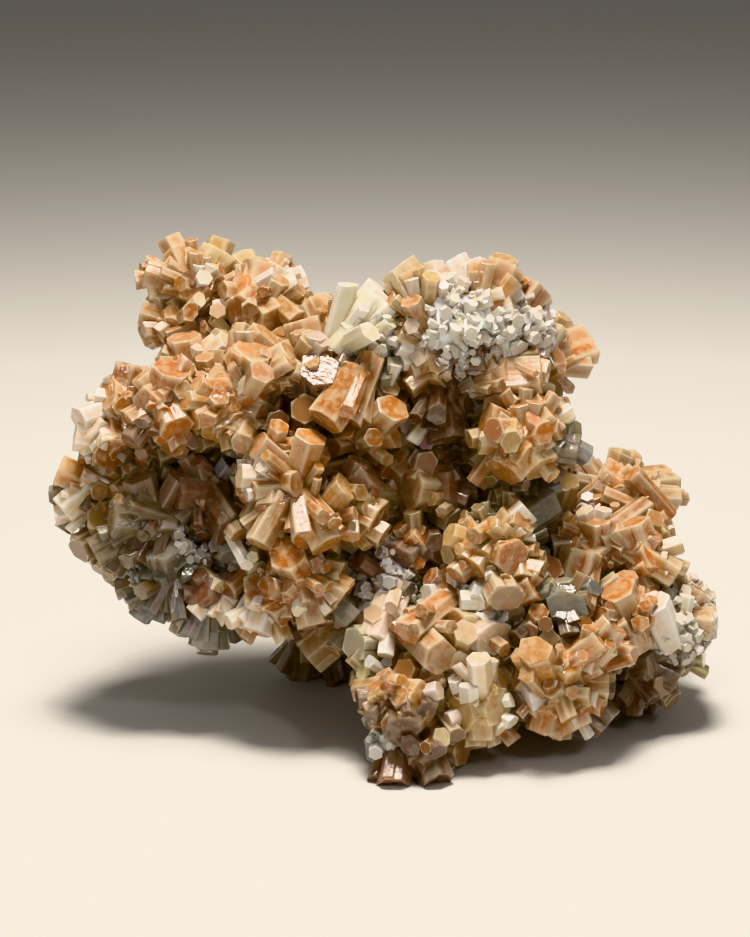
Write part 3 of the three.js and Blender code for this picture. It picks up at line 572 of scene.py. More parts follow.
        (63.8, -19.2, 7, 2.8, "R"), (58.8, -15.5, 7, 2.4, "O"), (77.8, -25.5, 4, 2.4, "R"),
    ]),
    ("right inner", (55, -20), [
        (55, -12, 8, 5.2, "P"), (51, -23, 8, 5.6, "R"), (55.5, -18, 9, 2.2, "C"),
        (52.2, -10.5, 8, 2.6, "C"), (57.2, -10, 8, 2.6, "C"), (50, -16.8, 8, 2.6, "R"),
        (52.5, -35.5, 7, 2.6, "R"), (53.8, -27.5, 7, 2.6, "B"), (46.2, -18, 6, 2.4, "S"),
        (48.8, -13, 7, 2.4, "O"), (56.2, -24.2, 8, 2.6, "R"),
    ]),
    ("grey group", (47, -34), [
        (48, -35, 8, 5.2, "B"), (47.5, -30.5, 7, 2.4, "B"), (44.5, -30.5, 6, 2.4, "B"),
        (45.5, -38.5, 6, 2.6, "B"), (50, -39.2, 6, 2.6, "S"), (48.8, -41.8, 6, 2.6, "S"),
        (53.8, -33, 6, 2.4, "G"),
    ]),
    ("right back", (62, -5), [
        (56, -1.5, 4, 5.2, "O"), (66, -2, 4, 5.4, "T"), (67, -2.2, 5, 3, "T"),
        (70, -9.8, 4, 3.2, "O"), (53.8, -4.2, 5, 2.6, "O"), (59.2, 0.5, 3, 2.8, "T"),
        (63.2, -0.5, 4, 2.8, "T"), (71.2, -5.5, 3, 2.6, "T"), (66.2, -8, 6, 2.6, "O"),
        (61.2, -6.8, 6, 2.8, "O"), (50, -3, 4, 2.4, "T"), (57.5, -5.5, 6, 2.6, "O"),
        (56.2, -0.5, 3, 2.6, "T"),
    ]),
    ("centre caps", (-3.8, 7), [
        (1, 5.2, 9, 3.2, "O"), (3.2, 2, 9, 2, "T"), (-10.5, 5, 8, 3, "O"), (-7.5, 10, 8, 3.2, "A"),
        (-4.2, 5.8, 8, 2.6, "O"), (5.2, 8, 8, 3, "O"),
    ]),
    ("hollow rim", (1.8, 19), [
        (-1.2, 18.2, 7, 3.2, "M"), (3.8, 20.8, 7, 3, "T"), (-5, 26.5, 7, 2.6, "G"),
        (-10, 27, 7, 2.8, "M"), (5.2, 26.5, 8, 2.2, "C"), (2.5, 24, 8, 2.4, "B"),
    ]),
    ("grey ledge", (37.5, -7), [
        (32.5, -5.5, 7, 2.6, "G"), (36.2, -8, 7, 2.4, "B"), (41.2, -5.5, 6, 2.6, "G"),
        (43.8, -8, 6, 2.2, "B"), (46.2, -4.2, 5, 2.4, "B"), (28.2, -1.8, 7, 2.8, "G"),
    ]),
    ("dark crevice", (3.8, -28.5), [
        (0, -25.5, 7, 2.4, "M"), (6.2, -27.2, 8, 2.4, "B"), (-0.8, -30.5, 7, 2.2, "M"),
        (2.5, -33, 7, 2.2, "M"), (8.8, -30.5, 7, 2.2, "B"), (-4.2, -23, 7, 2.4, "M"),
    ]),
    ("red block", (17.5, -30), [
        (12.8, -31.2, 8, 2.2, "W"), (17.5, -32.2, 9, 1.6, "W"), (18.2, -28.8, 8, 3, "R"),
        (13.8, -26.8, 7, 2.8, "R"),
    ]),
    ("amber caps", (39.5, -38.5), [
        (41, -35.8, 8, 2.8, "A"), (38, -41, 7, 2.8, "A"), (35, -43, 7, 2.6, "S"),
        (42.5, -40.5, 7, 2.4, "S"),
    ]),
]

# name, (right, up, depth) of the root, (x, y) on the floor, radius, tint
# name, (right, up, depth) of the root, (x, y) on the floor, radius, tint
# The feet stand in the cluster's shadow, so their dark tints M, S and G are partly painted shadow.
FEET = [
    ("front left foot", (7, -66, -10), (4.5, -39), 4.2, "M"),
    ("front right foot", (10, -66, -10), (15, -38), 5.0, "S"),
    ("right foot", (66, -50, 26), (69, 16), 5.0, "S"),
    ("right inner foot", (62, -52, 24), (60, 9), 4.4, "G"),
    ("rear foot", (-16, -38, 46), (-20, 42), 5.0, "G"),
    ("rear inner foot", (-13, -38, 46), (-11, 40), 4.4, "S"),
]

# Prisms seen from the side: (right, up, forward) of the tip and of the root, radius, tint
LYING = [
    ((-12.5, 11.6, 11), (-4, 23.5, 3), 4.9, "O"), ((4.8, 15.2, 9), (-3.5, 7, 0), 4.8, "O"),
    ((-34, -2, 8), (-21.8, -2.6, 1), 3.3, "C"), ((-31, -5.6, 9), (-20, -4.6, 1), 3.2, "O"),
    ((-15.8, 8, 10), (-19, -2.5, 1), 4.6, "H"), ((-29.5, 6.2, 9), (-21, -1, 1), 4.2, "P"),
    ((-17.4, -18, 9), (-19, -7.5, 2), 3.6, "O"), ((-12.2, -19.4, 10), (-18, -7.5, 2), 4.2, "H"),
    ((-29.2, -19, 8), (-23, -8, 2), 3.8, "T"), ((-7.2, -4.4, 10), (-14.5, -12, 1), 4.1, "P"),
    ((2.4, -16.8, 9), (-6.5, -11.4, 2), 3.5, "P"), ((-1.4, -9.6, 11), (-6.5, -8.6, 2), 2.7, "Y"),
    ((-33, 6, 9), (-30, 13, 1), 3.3, "T"), ((-49, 36.2, 6), (-45.6, 28, 1), 4.8, "P"),
    ((-37, 32, 10), (-45.2, 25.4, 3), 2.7, "C"), ((-26.6, 33.4, 8), (-34, 25.4, 1), 5, "P"),
    ((-28, 24.2, 10), (-32.4, 17.5, 2), 3.6, "T"), ((2.2, 44.4, 6), (-6.6, 34, 1), 4.5, "W"),
    ((5.6, 50.4, 5), (13.4, 36.6, 0), 5, "Y"), ((14.4, 51.2, 3), (16.2, 41.5, 1), 3.1, "C"),
    ((23.2, 52.2, 2), (23.8, 43.5, 1), 3, "C"), ((32.4, 52.4, 3), (30.6, 43, 0), 4.1, "T"),
    ((36.6, 47, 4), (35, 41.5, 0), 1.9, "A"), ((43.4, 24, 6), (32, 27.2, 0), 3.3, "T"),
    ((35.4, -1.6, 9), (34.2, 6.5, 2), 3.4, "H"), ((23.4, 7.2, 8), (31.5, 9, 1), 2.8, "Y"),
    ((53.4, 3.2, 3), (46, 7.2, 0), 3, "B"), ((38.2, -10.2, 9), (28.6, -18.2, 3), 3.6, "C"),
    ((18.4, -16.4, 9), (27.4, -19.4, 2), 3.7, "Y"), ((41.6, -26.2, 8), (31, -23.2, 1), 3.6, "H"),
    ((7.8, -41.2, 10), (17.8, -33.4, 4), 3.4, "O"), ((26, -47.4, 9), (27, -58, 3), 3.4, "C"),
    ((39.8, -45.4, 10), (42.8, -53.5, 2), 4.5, "P"), ((59.4, -39.6, 10), (53, -50.2, 3), 4.4, "O"),
    ((60.6, -30, 10), (66.4, -43, 2), 4.6, "O"), ((69.8, -33.6, 9), (74, -43, 1), 4.8, "W"),
    ((85.2, -38, 3), (78.6, -32.6, 0), 3.8, "T"), ((44, -20, 8), (55.6, -19, 1), 3.6, "R"),
    ((-66, -12.4, 9), (-51, -13, 1), 4.3, "G"), ((-80, -11.8, 5), (-72, -9.6, 1), 3.2, "C"),
    ((-59, -37.6, 4), (-52, -27.5, 2), 3.4, "B"), ((-42, -46.4, 3), (-41.6, -37.5, 1), 3.2, "B"),
    ((-45.2, -36.8, 7), (-39.6, -30, 2), 3.4, "C"), ((-29.8, -41.2, 7), (-36, -33.8, 2), 3.6, "T"),
    ((-74.2, 12, 6), (-67, 14.6, 0), 3.6, "C"), ((-71, 4, 8), (-62, 6, 1), 3.4, "A"),
    ((-51.6, 57.4, 2), (-47.5, 50.5, 0), 3.8, "H"), ((-38, 57.2, 2), (-41.2, 49, 1), 4.3, "Y"),
    ((-60, 47.2, 3), (-53, 48.4, 0), 3.3, "H"), ((-17.8, 47.4, 4), (-24.2, 45.8, 2), 3.4, "C"),
    ((-23, 53.4, 3), (-26, 46.5, 1), 3.3, "P"), ((-18.4, 36.6, 7), (-24.4, 42.4, 2), 3.8, "T"),
]
tip_count = sum(len(tips) for _, _, tips in ROSETTES)
print(f"By hand: {len(ROSETTES)} rosettes of {tip_count} crystals, {len(LYING)} lying crystals")

# %% [markdown]
# ## Tints
#
# Iron oxide gives the honey, amber and rust colours, air trapped in the crystal makes it milky,
# and manganese a pink or smoky grey. The mauve, smoky brown, grey olive and blue grey tints are
# also partly painted shade: they are set darker for crystals that stand in shade, in hollows, on
# the undersides and at the feet. One material per tint would mean a dozen copies of one finish.
# Instead each crystal carries its tint as an attribute, and the material reads it.

# %% Name the tints
TINTS = {
    "H": "#D69C58",  # honey
    "O": "#C88040",  # orange
    "A": "#A85E24",  # amber
    "P": "#D6A474",  # peach
    "T": "#C29A70",  # tan
    "C": "#F0D4B0",  # cream
    "Y": "#E2C488",  # straw
    "R": "#9C5830",  # rust
    # M, S, G and B are partly painted shade: they are set darker for crystals that stand in shade.
    "M": "#98735F",  # mauve
    "S": "#5E3F2C",  # smoky brown
    "G": "#8A7F68",  # grey olive
    "B": "#98A4A4",  # blue grey
    "W": "#F1EBDE",  # milk white
}


def linear(hex_colour):
    """An sRGB hex colour as the linear numbers that shaders work in."""
    parts = [int(hex_colour[i : i + 2], 16) / 255 for i in (1, 3, 5)]
    return [v / 12.92 if v <= 0.04045 else ((v + 0.055) / 1.055) ** 2.4 for v in parts] + [1.0]


print("Tints:", ", ".join(TINTS))

# %% [markdown]
# ## From the sheet to real crystals
#
# A rosette's root lies a little under the skin, and each tip stands out of it. Feet are crystals
# that reach the floor and end flat on it, because a cluster this heavy rests on what sticks out.

# %% Find each crystal's root and tip
# all in mm
ROOT_SINK = 4  # a rosette's root lies this deep under the skin
ROOT_LIFT = 4  # its prisms start this much before the root
LYING_DROP = 4  # the tip of a lying prism is at most this much farther away than its root
DEPTHS = np.arange(-50, 90, 0.5)  # where a line of sight is tested against the mass


def meet_mass(right, up):
    """The nearest distance to the mass along a line of sight, and the depth of that point."""
    distances = mass_distance(place(right, up, DEPTHS))
    inside = np.flatnonzero(distances < 0)
    last = inside[0] if len(inside) else len(DEPTHS) - 1
    nearest = int(np.argmin(distances[: last + 1]))
    return distances[nearest], DEPTHS[nearest]


def surface_depth(right, up):
    """Depth in mm of the mass's skin at a place on the sheet."""
    viewer = Vector(-AWAY * SIGHT_DISTANCE)
    hit = COARSE_TREE.ray_cast(viewer, (Vector(place(right, up, 0)) - viewer).normalized())[0]
    return float(np.dot(hit, AWAY)) if hit else float(meet_mass(right, up)[1])


def rosette_crystals(rosette):
    """The prisms of a rosette fan out from one root, each to its own tip."""
    name, at, tips = rosette
    depth = surface_depth(*at) + ROOT_SINK
    root = place(*at, depth - ROOT_LIFT)
    for right, up, forward, radius, tint in tips:
        tip_depth = min(depth, surface_depth(right, up) + ROOT_SINK) - forward
        yield {"root": root, "tip": place(right, up, tip_depth), "radius": radius, "tint": tint}


def lying_crystal(lying):
    """A prism that shows its whole side, alone and only a little sunk."""
    (*tip_at, forward), (*root_at, root_forward), radius, tint = lying
    root_depth = surface_depth(*root_at)
    tip_depth = min(surface_depth(*tip_at), root_depth + LYING_DROP) - forward
    return {
        "root": place(*root_at, root_depth - root_forward), "tip": place(*tip_at, tip_depth),
        "radius": radius, "tint": tint, "sunk": 1, "alone": True,
    }


def foot_crystal(foot):
    """A prism from inside the mass down to a place (x, y) on the floor."""
    name, root, floor, radius, tint = foot
    tip = np.array([*floor, -FLOOR_BELOW_MIDDLE])
    return {"root": place(*root), "tip": tip, "radius": radius, "tint": tint}


placed = [crystal for rosette in ROSETTES for crystal in rosette_crystals(rosette)]
placed += [lying_crystal(lying) for lying in LYING]
feet = [foot_crystal(foot) for foot in FEET]
print(len(placed), "crystals placed by hand, and", len(feet), "feet")

# %% [markdown]
# ## The hidden sides
#
# The back and the underside are as crowded as the front. Nobody placed those crystals by eye, so
# they root at even distances over the lobes and lean at random.

# %% Plant the large crystals of the hidden sides
# in mm, apart from the shares
FILL_SPACING = 18.5
FILL_RADIUS = (5.2, 6.8)
FILL_REACH = (6.5, 10.5)
FILL_ROOT = 5  # how far in a crystal starts
FILL_LEAN = 0.3  # share of its length
FILL_OUTSIDE = 3  # how far a tip may stand out of the outline as seen from the front
FILL_CLEAR = 1.5  # least gap to a placed crystal
BURIED = -0.6  # deeper than this a spot lies inside another lobe
SPOT_SHARE = 0.5  # of a crystal's own square of skin, for each spot that is tried
FACES_VIEWER = 0.12  # cosine of the steepest slope that still shows
LOOK_STEPS = np.arange(4, 110, 4)
LARGE_RADIUS = 3.1
FILL_SEED = 7
WORD = 0xFFFFFFFF  # 32 bits


def numbers_from(seed):
    """A repeatable source of numbers between 0 and 1, the same on every computer."""
    state = seed

    def draw():
        """The next number."""
        nonlocal state
        state = (state + 0x6D2B79F5) & WORD
        mixed = ((state ^ (state >> 15)) * (state | 1)) & WORD
        mixed = ((mixed + (mixed ^ (mixed >> 7)) * (mixed | 61)) ^ mixed) & WORD
        return (mixed ^ (mixed >> 14)) / (WORD + 1)

    return draw


def ball_directions(count):
    """Even directions all round, on a spiral from pole to pole."""
    turn = math.pi * (3 - math.sqrt(5)) * np.arange(count)
    height = 1 - (2 * np.arange(count) + 1) / count
    ring = np.sqrt(1 - height * height)
    return np.stack([ring * np.cos(turn), ring * np.sin(turn), height], axis=1)


def is_in_front(point, normal):
    """Whether a spot on the skin shows from the front, where the listed crystals stand."""
    to_viewer = -AWAY * SIGHT_DISTANCE - point
    to_viewer /= np.linalg.norm(to_viewer)
    if normal @ to_viewer < FACES_VIEWER:
        return False
    steps = point + np.multiply.outer(LOOK_STEPS, to_viewer)
    return not (mass_distance(steps) < -1).any()


def distance_to_crystal(point, crystal):
    """Gap in mm between a point and a crystal, taken as a round rod."""
    span = crystal["tip"] - crystal["root"]
    along = np.clip((point - crystal["root"]) @ span / (span @ span), 0, 1)
    return np.linalg.norm(crystal["root"] + span * along - point) - crystal["radius"]


def fill_crystals(taken):
    """Crystals over the hidden part of each lobe that keep clear of those already taken."""
    number = numbers_from(FILL_SEED)
    crystals = []
    for middle, axes, half in SHAPED_LOBES:
        size = np.cbrt(half.prod())
        own_skin = FILL_SPACING * FILL_SPACING * SPOT_SHARE
        count = int(4 * math.pi * size * size / own_skin + 0.5)
        directions = ball_directions(count)
        spots = middle + (directions * half) @ axes
        normals = (directions / half) @ axes
        normals /= np.linalg.norm(normals, axis=1, keepdims=True)
        buried = mass_distance(spots) < BURIED
        for spot, normal, deep in zip(spots, normals, buried):
            near = any(np.linalg.norm(other["spot"] - spot) < FILL_SPACING for other in crystals)
            if deep or near or is_in_front(spot, normal):
                continue
            if any(distance_to_crystal(spot, other) < FILL_CLEAR for other in taken):
                continue
            lean = np.array([number() - 0.5 for _ in range(3)])
            axis = normal + lean * 2 * FILL_LEAN
            axis /= np.linalg.norm(axis)
            reach = FILL_REACH[0] + (FILL_REACH[1] - FILL_REACH[0]) * number()
            radius = FILL_RADIUS[0] + (FILL_RADIUS[1] - FILL_RADIUS[0]) * number()
            tip = spot + axis * reach
            if meet_mass(*sheet_place(tip)[:2])[0] < FILL_OUTSIDE:
                root = spot - axis * FILL_ROOT
                crystals.append({"root": root, "tip": tip, "radius": radius, "spot": spot})
    return crystals


large = [crystal for crystal in placed if crystal["radius"] >= LARGE_RADIUS]
fill = fill_crystals(large + feet)
print(len(large), "large crystals in front and", len(fill), "on the hidden sides")

# %% [markdown]
# ## The shape of one crystal
#
# Aragonite's six-sided look comes from twinning: three crystals grown into each other. So the
# outline is never a true hexagon, re-entrant grooves run down the sides, the flat end is a
# little stepped, and slimmer prisms often grow along the side of a thick one. An edge worn by
# growth is not sharp, and its narrow bevel is what catches the light.
#
# A cylinder of six sides with a bevel modifier would come close, but all its sides would be
# alike. So the outline is drawn corner by corner, and rings of it are joined into a prism.

# %% Draw an outline and raise a prism from it
FORM_LENGTH = 3.4  # in radii
ROOT_WIDTH = 0.96
BEVEL_DEPTH = 0.04
# shares of a radius or of a side
CORNER_TURN, CORNER_REACH = 0.24, 0.18  # how far a corner strays from the true hexagon's
GROOVE_WIDTH = 0.07
GROOVE_AT = (0.35, 0.3)  # least, and how much more at random
GROOVE_DEPTH = (0.05, 0.06)
END_ONLY = -0.5  # a slanting end tilts the points above this height


def outline(number, corner_cut, grooves):
    """An uneven six-sided outline with cut corners and, on some sides, a groove."""
    turns = [math.pi / 3 * k + CORNER_TURN * (number() - 0.5) for k in range(6)]
    reach = [1 + CORNER_REACH * (number() - 0.5) for _ in range(6)]
    corners = [np.array([r * math.cos(a), r * math.sin(a)]) for r, a in zip(reach, turns)]
    points = []
    for k, corner in enumerate(corners):
        before, after = corners[k - 1], corners[(k + 1) % 6]
        points += [corner + (before - corner) * corner_cut, corner + (after - corner) * corner_cut]
        if k in grooves:
            middle = corner + (after - corner) * (GROOVE_AT[0] + GROOVE_AT[1] * number())
            along = (after - corner) * GROOVE_WIDTH
            inward = -middle * (GROOVE_DEPTH[0] + GROOVE_DEPTH[1] * number())
            points += [middle - along, middle + inward, middle + along]
    return np.array(points)


def prism(points, rings, middle=(0, 0), width=1.0, drop=0.0, tilt=(0, 0)):
    """Corners, the same corners seen from the prism's own axis, and faces of a closed prism. Each
    ring is (height, scale)."""
    count = len(points)
    corners, own, faces = [], [], []
    for height, scale in rings:
        for x, y in points * scale:
            at_x, at_y = x * width + middle[0], y * width + middle[1]
            slope = tilt[0] * at_x + tilt[1] * at_y if height > END_ONLY else 0
            corners.append((at_x, at_y, height * width - drop + slope))
            own.append((x, y, height * width))
    for ring in range(len(rings) - 1):
        for k in range(count):
            a, b = ring * count + k, ring * count + (k + 1) % count
            faces.append((a, a + count, b + count, b))
    faces += [tuple(range(count)), tuple(reversed(range(len(corners) - count, len(corners))))]
    return corners, own, faces


print("Points of a plain outline:", len(outline(numbers_from(1), BEVEL_DEPTH, [])))

# %% [markdown]
# ## A few forms for thousands of crystals
#
# No two crystals of a cluster are alike, but they differ by little. Every crystal could be
# modelled by hand, but a few forms that are spun, stretched and tinted differently look just as
# varied. They are one unit in radius and have the flat end at height zero: large ones with side
# prisms, small single ones, and tiny ones of only fourteen faces. Each keeps, as an attribute,
# where its points are in the crystal.

# %% Model the crystal forms
# corner cut, greatest slope of the end, and rings as (height, scale)
LARGE = (0.05, 0.2, [(0, 1 - BEVEL_DEPTH), (-BEVEL_DEPTH, 1.0), (-FORM_LENGTH, ROOT_WIDTH)])
SMALL = (0.08, 0.3, [(0, 0.95), (-0.05, 1.0), (-FORM_LENGTH, ROOT_WIDTH)])
TINY = (0.0, 0.5, [(0, 0.92), (-0.08, 1.0), (-FORM_LENGTH, 0.85)])
TINY_TURN = 0.3
SIDE_CUT = 0.06
SIDE_ENDS = ((0, 0.94), (-0.06, 1.0))
SIDE_ROOT_WIDTH = 0.95
GREATEST_SIDES = 2.8  # rounded down, so up to two side prisms
SIDE_WIDTH = (0.42, 0.3)  # least, and how much more at random
SIDE_DROP = (-0.14, 0.7)


def form_object(name, parts):
    """One mesh object from several prisms. "local" keeps where a point is in its own prism."""
    corners, own, faces = [], [], []
    for part_corners, part_own, part_faces in parts:
        faces += [tuple(i + len(corners) for i in face) for face in part_faces]
        corners += part_corners
        own += part_own
    mesh = bpy.data.meshes.new(name)
    mesh.from_pydata(corners, [], faces)
    local = mesh.attributes.new("local", "FLOAT_VECTOR", "POINT")
    local.data.foreach_set("vector", np.array(own, "f").ravel())
    mesh.validate()
    return bpy.data.objects.new(name, mesh)


def slanting(number, slope):
    """How much an end rises to the right and to the back, at random."""
    return slope * (number() - 0.5), slope * (number() - 0.5)


def side_prism(number, tilt):
    """A slimmer prism that grew along the side of the main one."""
    turn = number() * math.tau
    width = SIDE_WIDTH[0] + SIDE_WIDTH[1] * number()
    away = 0.95 - 0.6 * width + 0.14 * number()
    points = outline(number, SIDE_CUT, [])
    rings = [*SIDE_ENDS, (-(FORM_LENGTH - 1) / width, SIDE_ROOT_WIDTH)]
    middle = (away * math.cos(turn), away * math.sin(turn))
    drop = SIDE_DROP[0] + SIDE_DROP[1] * number() * number()
    return prism(points, rings, middle, width, drop, tilt)


def large_form(seed):
    """A grooved prism with up to two slimmer ones along its side."""
    number = numbers_from(seed)
    corner_cut, slope, rings = LARGE
    grooves = [k for k in range(6) if number() < 0.5]
    points = outline(number, corner_cut, grooves)
    tilt = slanting(number, slope)
    parts = [prism(points, rings, tilt=tilt)]
    parts += [side_prism(number, tilt) for _ in range(int(number() * GREATEST_SIDES))]
    return form_object(f"large_form_{seed:02d}", parts)


def small_form(seed):
    """A plain prism with cut corners."""
    number = numbers_from(100 + seed)
    corner_cut, slope, rings = SMALL
    points = outline(number, corner_cut, [])
    tilt = slanting(number, slope)
    return form_object(f"small_form_{seed:02d}", [prism(points, rings, tilt=tilt)])


def tiny_form(seed):
    """A prism of six plain sides."""
    number = numbers_from(200 + seed)
    _, slope, rings = TINY
    turns = [math.pi / 3 * k + TINY_TURN * (number() - 0.5) for k in range(6)]
    points = np.array([[math.cos(a), math.sin(a)] for a in turns])
    tilt = slanting(number, slope)
    return form_object(f"tiny_form_{seed:02d}", [prism(points, rings, tilt=tilt)])


def form_collection(name, make, count):
    """A collection of forms that Geometry Nodes can pick from."""
    collection = bpy.data.collections.new(name)
    for seed in range(count):
        collection.objects.link(make(seed + 1))
    faces = [len(form.data.polygons) for form in collection.objects]
    print(f"{name}: {count} forms of {min(faces)} to {max(faces)} faces")
    return collection


LARGE_FORMS = form_collection("large_forms", large_form, 14)
SMALL_FORMS = form_collection("small_forms", small_form, 10)
TINY_FORMS = form_collection("tiny_forms", tiny_form, 8)

# %% [markdown]
# ## Seeds for crystals
#
# Geometry Nodes plants a form on each point of a cloud and reads the rest from the point: which
# way the crystal grows, how thick it is, how it is spun, which form it takes and its tint. The
# cloud is a mesh of bare vertices with those attributes.

# %% Turn a list of crystals into a cloud of points
MASS_SUNK = 5  # mm that a crystal's root reaches under its place
PALEST = 0.9  # no crystal reflects more of any colour
SHADES = (0.85, 1.1)
HUE_LOW, HUE_HIGH = (0.97, 0.88, 0.72), (1.05, 0.99, 1.06)
WIDENED = (0.86, 1.14)  # how flat or wide a prism is


def point_cloud(name, crystals, forms, seed):
    """A mesh of bare vertices, one at each crystal's tip, with what its prism needs to know."""
    number = np.random.default_rng(seed)
    count = len(crystals)
    tips = np.array([crystal["tip"] for crystal in crystals])
    roots = np.array([crystal["root"] for crystal in crystals])
    spans = np.linalg.norm(tips - roots, axis=1)
    radii = np.array([crystal["radius"] for crystal in crystals])
    tints = np.array([linear(TINTS[crystal["tint"]]) for crystal in crystals])
    shades = number.uniform(*SHADES, (count, 1))
    tints[:, :3] *= shades * number.uniform(HUE_LOW, HUE_HIGH, (count, 3))
    tints = np.minimum(tints, PALEST)
    sunk = np.array([crystal.get("sunk", MASS_SUNK) for crystal in crystals])

    mesh = bpy.data.meshes.new(name)
    mesh.from_pydata(in_frame(tips).tolist(), [], [])
    columns = {
        "axis": ("FLOAT_VECTOR", "vector", (tips - roots) / spans[:, None]),
        "radius": ("FLOAT", "value", radii),
        "stretch": ("FLOAT", "value", (spans + sunk) / radii / FORM_LENGTH),
        "spin": ("FLOAT", "value", number.uniform(0, math.tau, count)),
        "widen": ("FLOAT", "value", number.uniform(*WIDENED, count)),
        "seed": ("FLOAT", "value", number.uniform(0, 100, count)),
        "form": ("INT", "value", number.integers(0, len(forms.objects), count)),
        "tint": ("FLOAT_COLOR", "color", tints),
    }
    for column, (kind, field, values) in columns.items():
        attribute = mesh.attributes.new(column, kind, "POINT")
        attribute.data.foreach_set(field, np.asarray(values, "i" if kind == "INT" else "f").ravel())
    return bpy.data.objects.new(name, mesh)


def tint_nearby(crystal):
    """A hidden crystal takes the tint of the placed one that is closest to it."""
    gaps = [np.linalg.norm(other["tip"] - crystal["tip"]) for other in placed]
    return placed[int(np.argmin(gaps))]["tint"]


# The dark tints are partly painted shade, and the hidden crystals take it over from their nearest
# neighbour.
for crystal in fill:
    crystal["tint"] = tint_nearby(crystal)
print("Hidden crystals that took a neighbour's tint:", len(fill))

# %% [markdown]
# ## Growing crystals with Geometry Nodes
#
# The same few nodes end every tree: turn the form on to its axis, spin it, size it, plant it and
# make it real. They could be copied into each tree by hand, but a function that adds them keeps
# every tree to what is its own. One small function adds any node with its settings and links.

# %% Write functions that add nodes
# The kinds of nodes that are used most. Each kind of value has its own sockets on RANDOM: vectors
# are inputs 0 and 1 and output 0, numbers 2, 3 and 1, and whole numbers 4, 5 and 2.
MATH, VECTOR_MATH, RANDOM = "ShaderNodeMath", "ShaderNodeVectorMath", "FunctionNodeRandomValue"
READ, STORE = "GeometryNodeInputNamedAttribute", "GeometryNodeStoreNamedAttribute"
FULL_TURN = 6.28
PATTERN_SHIFT = 100.0


def add(tree, kind, *inputs, out=0, **settings):
    """Adds a node, sets its properties, links or sets its inputs and gives back one output, or
    all of them if out is None. Inputs come in order, or by name or number in a dictionary."""
    node = tree.nodes.new(kind)
    for name, value in settings.items():
        setattr(node, name, value)
    wanted = {}
    for number, value in enumerate(inputs):
        wanted.update(value if isinstance(value, dict) else {number: value})
    for key, value in wanted.items():
        socket = node.inputs[key]
        if isinstance(value, bpy.types.NodeSocket):
            tree.links.new(value, socket)
        else:
            socket.default_value = value
    return node.outputs if out is None else node.outputs[out]


def new_tree(name, sizes):
    """A Geometry Nodes tree with a geometry in and out and named inputs for its sizes."""
    tree = bpy.data.node_groups.new(name, "GeometryNodeTree")
    tree.interface.new_socket("Geometry", in_out="INPUT", socket_type="NodeSocketGeometry")
    for label, kind in sizes.items():
        tree.interface.new_socket(label, in_out="INPUT", socket_type=f"NodeSocket{kind}")
    tree.interface.new_socket("Geometry", in_out="OUTPUT", socket_type="NodeSocketGeometry")
    return tree, add(tree, "NodeGroupInput", out=None)


def leaning(tree, axis, lean):
    """An axis that leans away from another by a random share of its length."""
    away = add(tree, RANDOM, (-1, -1, -1), (1, 1, 1), {"Seed": 1}, data_type="FLOAT_VECTOR")
    away = add(tree, VECTOR_MATH, away, {"Scale": lean}, operation="SCALE")
    away = add(tree, VECTOR_MATH, axis, away, operation="ADD")
    return add(tree, VECTOR_MATH, away, operation="NORMALIZE")


def varied(tree, points, form_count):
    """Gives each point a spin, a place of its own in the patterns, and one of the forms."""
    spin = add(tree, RANDOM, {2: 0.0, 3: FULL_TURN, "Seed": 4}, out=1)
    points = add(tree, STORE, points, {"Name": "spin", "Value": spin})
    shift = add(tree, RANDOM, {2: 0.0, 3: PATTERN_SHIFT, "Seed": 5}, out=1)
    points = add(tree, STORE, points, {"Name": "seed", "Value": shift})
    last_form = add(tree, MATH, form_count, 1, operation="SUBTRACT")
    form = add(tree, RANDOM, {4: 0, 5: last_form, "Seed": 7}, data_type="INT", out=2)
    return add(tree, STORE, points, {"Name": "form", "Value": form}, data_type="INT")


def plant(tree, points, forms, material):
    """Plants a form on each point, makes it real and ends the tree."""
    axis = add(tree, READ, "axis", data_type="FLOAT_VECTOR")
    upright = add(tree, "FunctionNodeAlignRotationToVector", {"Vector": axis}, axis="Z")
    spin = add(tree, "FunctionNodeAxisAngleToRotation", {
        "Axis": (0, 0, 1), "Angle": add(tree, READ, "spin"),
    })
    turned = add(
        tree, "FunctionNodeRotateRotation", {"Rotation": upright, "Rotate By": spin},
        rotation_space="LOCAL",
    )
    widen = add(tree, READ, "widen")
    radius = add(tree, MATH, add(tree, READ, "radius"), MM, operation="MULTIPLY")
    size = add(tree, "ShaderNodeCombineXYZ", {
        "X": add(tree, MATH, radius, widen, operation="MULTIPLY"),
        "Y": add(tree, MATH, radius, widen, operation="DIVIDE"),
        "Z": add(tree, MATH, radius, add(tree, READ, "stretch"), operation="MULTIPLY"),
    })
    all_forms = add(tree, "GeometryNodeCollectionInfo", {
        "Collection": forms, "Separate Children": True, "Reset Children": True,
    })
    planted = add(tree, "GeometryNodeInstanceOnPoints", {
        "Points": points, "Instance": all_forms, "Pick Instance": True,
        "Instance Index": add(tree, READ, "form", data_type="INT"), "Rotation": turned,
        "Scale": size,
    })
    real = add(tree, "GeometryNodeRealizeInstances", planted)
    finished = add(tree, "GeometryNodeSetMaterial", {"Geometry": real, "Material": material})
    add(tree, "NodeGroupOutput", finished, out=None)


def keep_in_box(mesh):
    """Trims what reaches past the solid model's box, so feet end flat on the floor."""
    corners = np.empty(len(mesh.vertices) * 3, "f")
    mesh.vertices.foreach_get("co", corners)
    corners = np.clip(corners.reshape(-1, 3), CAD_BOX[0], CAD_BOX[1])
    mesh.vertices.foreach_set("co", corners.ravel())


